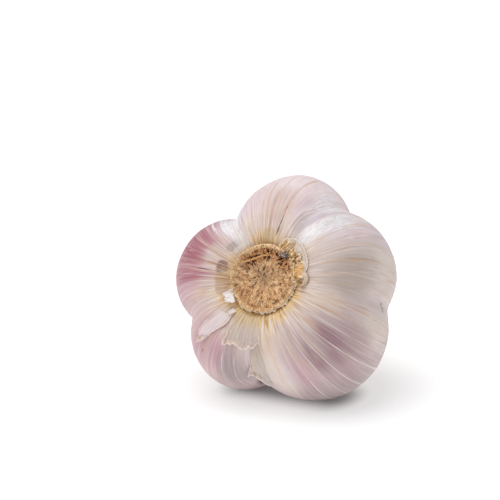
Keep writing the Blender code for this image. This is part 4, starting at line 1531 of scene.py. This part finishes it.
def make_torn_skin(name, sheet, material, look, skin):
    """A torn piece of the outermost skin, laid on the bulb."""
    seed = sheet.seed
    across, along = unit_grid(*SHEET_GRID)
    u = across / 7.0 + seed / 9.0
    torn = np.interp(across, np.linspace(0.0, 1.0, len(sheet.ending)), sheet.ending)
    torn = torn + 0.035 * waves(u, 0.0, 120, seed) + 0.02 * waves(u, 0.0, 340, seed + 1)
    way = along * torn
    u = across + 0.02 * waves(0.3, along * 16.0, 30, seed + 2) * (2.0 * across - 1.0)
    left, right = along_line(sheet.left, way), along_line(sheet.right, way)
    angle, share = (first + (last - first) * u for first, last in zip(left, right))
    turn = angle / 360.0
    side = np.abs(2.0 * across - 1.0)
    held = smooth(way / 0.3)
    if sheet.bound:
        side = side * (across < 0.5)
        held = held * smooth((1.0 - across) / 0.3)
    free = smooth((way - 0.2) / 0.6)
    lift = sheet.lift * (0.3 + 0.7 * free) + sheet.curl * smooth((way / torn - 0.80) / 0.2) ** 2
    lift = lift + 0.5 * side**8 * smooth(way * 2.0) * (0.6 + 0.6 * waves(0.7, along * 9.0, 30, seed + 6))
    lift = lift + 0.14 * waves(turn, share * 24.0, 120, seed + 3)
    lift = lift + 0.09 * waves(turn, share * 9.0, 300, seed + 4) * (0.4 + free)
    height = np.maximum(0.09, lift) * held - 0.12 * (1.0 - held)
    place = skin_place(angle, share, height + skin_relief(angle, share, skin))
    u = u[..., None]
    direct = skin_place(*left) * (1.0 - u) + skin_place(*right) * u
    straight = (place - skin_place(angle, share)) + direct
    place = place * (1.0 - sheet.bridge) + straight * sheet.bridge
    first, last = SHEET_TINTS[name]
    seam = bell(way / torn, 0.91, 0.02) + bell(side, 0.86, 0.04)
    colour = painted(
        plain(angle, first),
        (last, way),
        ("orange", 0.35 * smooth((waves(turn, share * 6.0, 90, 55) - 0.3) / 0.3)),
        ((0.72, 0.54, 0.40), 0.45 * seam * smooth(way * 3.0)),
        ((0.99, 0.95, 0.92), 0.6 * smooth((way / torn - 0.95) / 0.04) + 0.6 * smooth((side - 0.92) / 0.05)),
        ("stone", 0.5 * smooth((waves(turn, share * 14.0, 70, 57) - 0.2) / 0.4) * free),
    )
    if name == "torn_skin_wide":
        colour = blend(colour, gild_pleats(colour, angle, share, skin), np.full(angle.shape, 0.6))
    if name == "torn_skin_long":
        dots = smooth((waves(turn, share * 90.0, 420, 56) - 0.45) / 0.15) * smooth((way - 0.84) / 0.05)
        colour = painted(colour, ((0.85, 0.66, 0.30), 0.8 * dots))
    make_sheet(
        "loose_" + name, place, material, "torn_skin", colour,
        round_grain(angle, GIRTH, share * CREST_LENGTH), look.thickness, replaces=[name])


def make_scrap(name, scrap, material, look):
    """A curled scrap of skin between its four corners."""
    seed = scrap.seed
    across, along = unit_grid(*SCRAP_GRID)
    near_left, near_right, far_left, far_right = np.array(scrap.corners, float)
    u = (across + 0.05 * waves(0.4, along * 7.0, 9, seed) * (2.0 * across - 1.0))[..., None]
    v = (along * (1.0 + 0.12 * waves(across / 5.0, 0.0, 40, seed + 1)))[..., None]
    middle = near_left * (1 - u) * (1 - v) + near_right * u * (1 - v)
    middle = middle + far_left * (1 - u) * v + far_right * u * v
    crease = 0.12 * np.abs(waves(across / 4.0, along * 1.5, 16, seed + 2))
    lift = scrap.curl * (along**3 + 0.7 * np.abs(2.0 * across - 1.0) ** 4) + crease
    first, last = SHEET_TINTS[name]
    vein = smooth((waves(across / 4.0, along * 0.6, 34, seed + 3) - 0.45) / 0.2)
    make_sheet(
        "loose_" + name, on_plate(middle[..., 0], middle[..., 1], middle[..., 2] - lift), material,
        "torn_skin", painted(plain(across, first), (last, along), ("orange", 0.4 * vein)),
        np.stack([across * 5.0, 0.0 * across, along * 4.0], -1), look.thickness, replaces=[name])


class GARLIC_OT_torn_skins(bpy.types.Operator):
    """Lays the torn pieces of the outermost skin on the bulb"""

    bl_idname = "garlic.torn_skins"
    bl_label = "Torn skins"

    def execute(self, context):
        look = context.scene.garlic_sheets
        material = torn_material(look)
        for name, sheet in TORN_SHEETS.items():
            make_torn_skin(name, sheet, material, look, context.scene.garlic_skin)
        for name, scrap in SCRAPS.items():
            make_scrap(name, scrap, material, look)
        return {"FINISHED"}


# The neck


class StemLook(bpy.types.PropertyGroup):
    ridges: bpy.props.IntProperty(
        name="Ridges", description="Ridges along the stem", default=23, min=5, max=60)
    ridge_height: bpy.props.FloatProperty(
        name="Ridge height", description="Height of the stem's ridges, in mm", default=0.14, min=0.0,
        max=0.5)


class GARLIC_OT_stem(bpy.types.Operator):
    """Makes the dry cut stem with its hollow end"""

    bl_idname = "garlic.stem"
    bl_label = "Stem"

    def execute(self, context):
        look = context.scene.garlic_stem
        columns, rows = STEM_GRID
        angle, height = np.meshgrid(turns(columns), np.linspace(STEM_FOOT, STEM_END, rows))
        turn = angle / 360.0
        along = (height - STEM_FOOT) / (STEM_END - STEM_FOOT)
        ridge = look.ridge_height * waves(turn, along * 3.0, look.ridges, 101)
        ridge = ridge + 0.05 * waves(turn, along * 6.0, 80, 102)
        radius = np.interp(height, *zip(*STEM_RADII)) + ridge
        cut = smooth((along - 0.9) / 0.1)
        frayed = 0.5 * waves(turn[-1:], 0.0, 60, 103) * cut
        outer = upright(angle, radius, height + np.where(height > STEM_END - 1.0, frayed, 0.0) - 0.4 * cut)
        end = outer[-1, :, 2]
        stained = 0.8 * smooth((along - 0.8) / 0.2) + 0.35 * smooth((0.2 - along) / 0.2)
        tints = [painted(plain(angle, (0.90, 0.83, 0.70)), ((0.74, 0.60, 0.42), stained)).reshape(-1, 3)]
        rings = [outer.reshape(-1, 3)]
        # Painted shade: the rings down the hollow are darker the deeper they lie
        for inner, deep, shade in STEM_HOLLOW:
            wobble = inner * (1.0 + 0.06 * waves(turn[0], 0.0, 17, 104))
            drop = deep + 0.12 * waves(turn[0], 0.0, 70, 105) * (deep < 1.0)
            rings.append(upright(angle[0], wobble, end - drop))
            tints.append(np.tile(linear((0.80, 0.68, 0.50)) * shade, (columns, 1)))
        grain = round_grain(angle, 4, height).reshape(-1, 3)
        grain = np.vstack([grain, np.tile(grain[-columns:], (len(STEM_HOLLOW), 1))])
        make_solid(
            "dry_stem", np.vstack(rings), tube_faces(rows + len(STEM_HOLLOW), columns), stem_material(),
            "stem_fibre", {"tint": np.vstack(tints)}, grain, ["stem"])
        return {"FINISHED"}


class GARLIC_OT_dry_tips(bpy.types.Operator):
    """Makes the dry leaf tips round the foot of the stem"""

    bl_idname = "garlic.dry_tips"
    bl_label = "Dry leaf tips"

    def execute(self, context):
        material = bpy.data.objects["dry_stem"].data.materials[0]
        foot, free = TIP_FOOT
        columns, rows = TIP_GRID
        across, along = np.meshgrid(np.linspace(-1.0, 1.0, columns), np.linspace(0.0, 1.0, rows))
        for number, (name, (angle, tip_distance, tip_height, twist)) in enumerate(DRY_TIPS.items()):
            height = foot + (tip_height - foot) * along
            flare = (tip_distance - TIP_NECK) * smooth((height - free) / (tip_height - free)) ** 1.6
            half = 0.5 * TIP_WIDTH * (1.0 - along) ** 0.75 + 0.12
            half = half * (1.0 + 0.10 * waves(number / 5.0, along * 8.0, 30, 111))
            around = angle + np.degrees(across * half / 7.4) + twist * along
            neck = np.hypot(*np.moveaxis(plain_skin(around, share_at(height))[..., :2], -1, 0))
            crumple = 0.16 * waves(around / 360.0, along * 5.0, 90, 112) + 0.25 * across**2 * along
            colour = painted(plain(across, (0.90, 0.80, 0.66)), ((0.72, 0.50, 0.26), smooth(along * 1.3)))
            grain = np.stack([across * half + number * 9.0, 0.0 * across, height], -1)
            make_sheet(
                name + "_leaf", upright(around, neck + 0.75 + flare + crumple, height), material, "dry_leaf",
                colour, grain, 0.22, replaces=[name])
        return {"FINISHED"}


# The stage


class StageLook(bpy.types.PropertyGroup):
    azimuth: bpy.props.FloatProperty(
        name="Azimuth", description="Where the camera stands, in degrees from the root end", default=25.3)
    elevation: bpy.props.FloatProperty(
        name="Elevation", description="How high the camera stands, in degrees", default=17.0)
    distance: bpy.props.FloatProperty(
        name="Distance", description="From the camera to the middle of the bulb", default=0.56,
        unit="LENGTH")
    lens: bpy.props.FloatProperty(name="Lens", description="Focal length in mm", default=149.2)
    key: bpy.props.FloatProperty(
        name="Key light", description="Strength of the overhead light", default=1.8)
    fill: bpy.props.FloatProperty(
        name="Fill light", description="Brightness of the surroundings", default=0.4)
    floor_glow: bpy.props.FloatProperty(
        name="Floor glow", description="Light that comes up through the table", default=0.72)
    floor_shade: bpy.props.FloatProperty(
        name="Floor shade", description="Share of the light that the table throws back", default=0.5)


def aim(thing, place, target):
    thing.location = place
    thing.rotation_euler = (Vector(target) - Vector(place)).to_track_quat("-Z", "Y").to_euler()


def floor_material(look):
    """White paper that glows from below as painted light, with a painted shadow round the foot of the bulb.
    """
    m = Material("lit_paper", Specular_IOR_Level=0.05, Roughness=0.9, Emission_Strength=1.0)
    place = m.node("ShaderNodeSeparateXYZ", Vector=m.place())
    x, y = (Value(m.tree, place.outputs[key]) for key in "XY")
    middle_x, middle_y, half = FOOTING
    aside = ((x - middle_x * MM).math("ABSOLUTE") - half * MM).math("MAXIMUM", 0.0)
    ahead = (y - middle_y * MM) * 0.65
    away = (aside * aside + ahead * ahead).math("SQRT")
    # Painted shadow: the floor's glow falls to FLOOR_DARKEST close round the bulb's foot
    lit = away.ramp(0.002, 0.0095) * 0.70 + away.ramp(0.008, 0.045) * 0.30
    glow = m.mix(lit, (*[FLOOR_DARKEST] * 3, 1.0), (*[look.floor_glow] * 3, 1.0))
    m.feed(Base_Color=(*[look.floor_shade] * 3, 1.0), Emission_Color=glow)
    return m.material


class GARLIC_OT_stage(bpy.types.Operator):
    """Sets the floor, the lights and the camera"""

    bl_idname = "garlic.stage"
    bl_label = "Stage"

    def execute(self, context):
        look = context.scene.garlic_stage
        bpy.ops.mesh.primitive_plane_add(size=8.0)
        floor = context.object
        floor.name = "floor"
        floor.data.materials.append(floor_material(look))

        world = bpy.data.worlds.new("studio")
        world.use_nodes = True
        back = world.node_tree.nodes["Background"]
        back.inputs["Color"].default_value = SURROUNDINGS
        back.inputs["Strength"].default_value = look.fill
        context.scene.world = world

        middle = Vector(GIRTH_CENTRE) * MM
        sun = bpy.data.lights.new("overhead", "SUN")
        sun.energy = look.key
        sun.angle = math.radians(SUN_SPREAD)
        aim(add_object("overhead", sun), middle + Vector(SUN_FROM), middle)

        lens = bpy.data.cameras.new("camera")
        lens.lens = look.lens
        lens.sensor_width = 36.0
        lens.shift_x, lens.shift_y = LENS_SHIFT
        lens.clip_start = 0.01
        camera = add_object("camera", lens)
        a, e = math.radians(look.azimuth), math.radians(look.elevation)
        away = Vector((math.sin(a) * math.cos(e), -math.cos(a) * math.cos(e), math.sin(e)))
        aim(camera, middle + away * look.distance, middle)
        context.scene.camera = camera

        view = context.scene.view_settings
        view.view_transform = "Standard"
        view.look = "None"
        return {"FINISHED"}


class GARLIC_PT_panel(bpy.types.Panel):
    bl_idname = "GARLIC_PT_panel"
    bl_label = "Garlic bulb"
    bl_space_type = "VIEW_3D"
    bl_region_type = "UI"
    bl_category = "Garlic"

    def draw(self, context):
        for step in STEPS:
            self.layout.operator(step.bl_idname)


STEPS = [
    GARLIC_OT_skin, GARLIC_OT_root_crust, GARLIC_OT_root_lip, GARLIC_OT_root_fibres, GARLIC_OT_torn_skins,
    GARLIC_OT_stem, GARLIC_OT_dry_tips, GARLIC_OT_stage,
]
LOOKS = {
    "garlic_skin": SkinLook, "garlic_root": RootLook, "garlic_sheets": SheetLook, "garlic_stem": StemLook,
    "garlic_stage": StageLook,
}


def register():
    for name, look in LOOKS.items():
        bpy.utils.register_class(look)
        setattr(bpy.types.Scene, name, bpy.props.PointerProperty(type=look))
    for step in STEPS:
        bpy.utils.register_class(step)
    bpy.utils.register_class(GARLIC_PT_panel)


def unregister():
    bpy.utils.unregister_class(GARLIC_PT_panel)
    for step in reversed(STEPS):
        bpy.utils.unregister_class(step)
    for name, look in LOOKS.items():
        delattr(bpy.types.Scene, name)
        bpy.utils.unregister_class(look)


def main():
    register()
    for step in STEPS:
        group, action = step.bl_idname.split(".")
        getattr(getattr(bpy.ops, group), action)()
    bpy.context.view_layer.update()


if __name__ == "__main__":
    main()
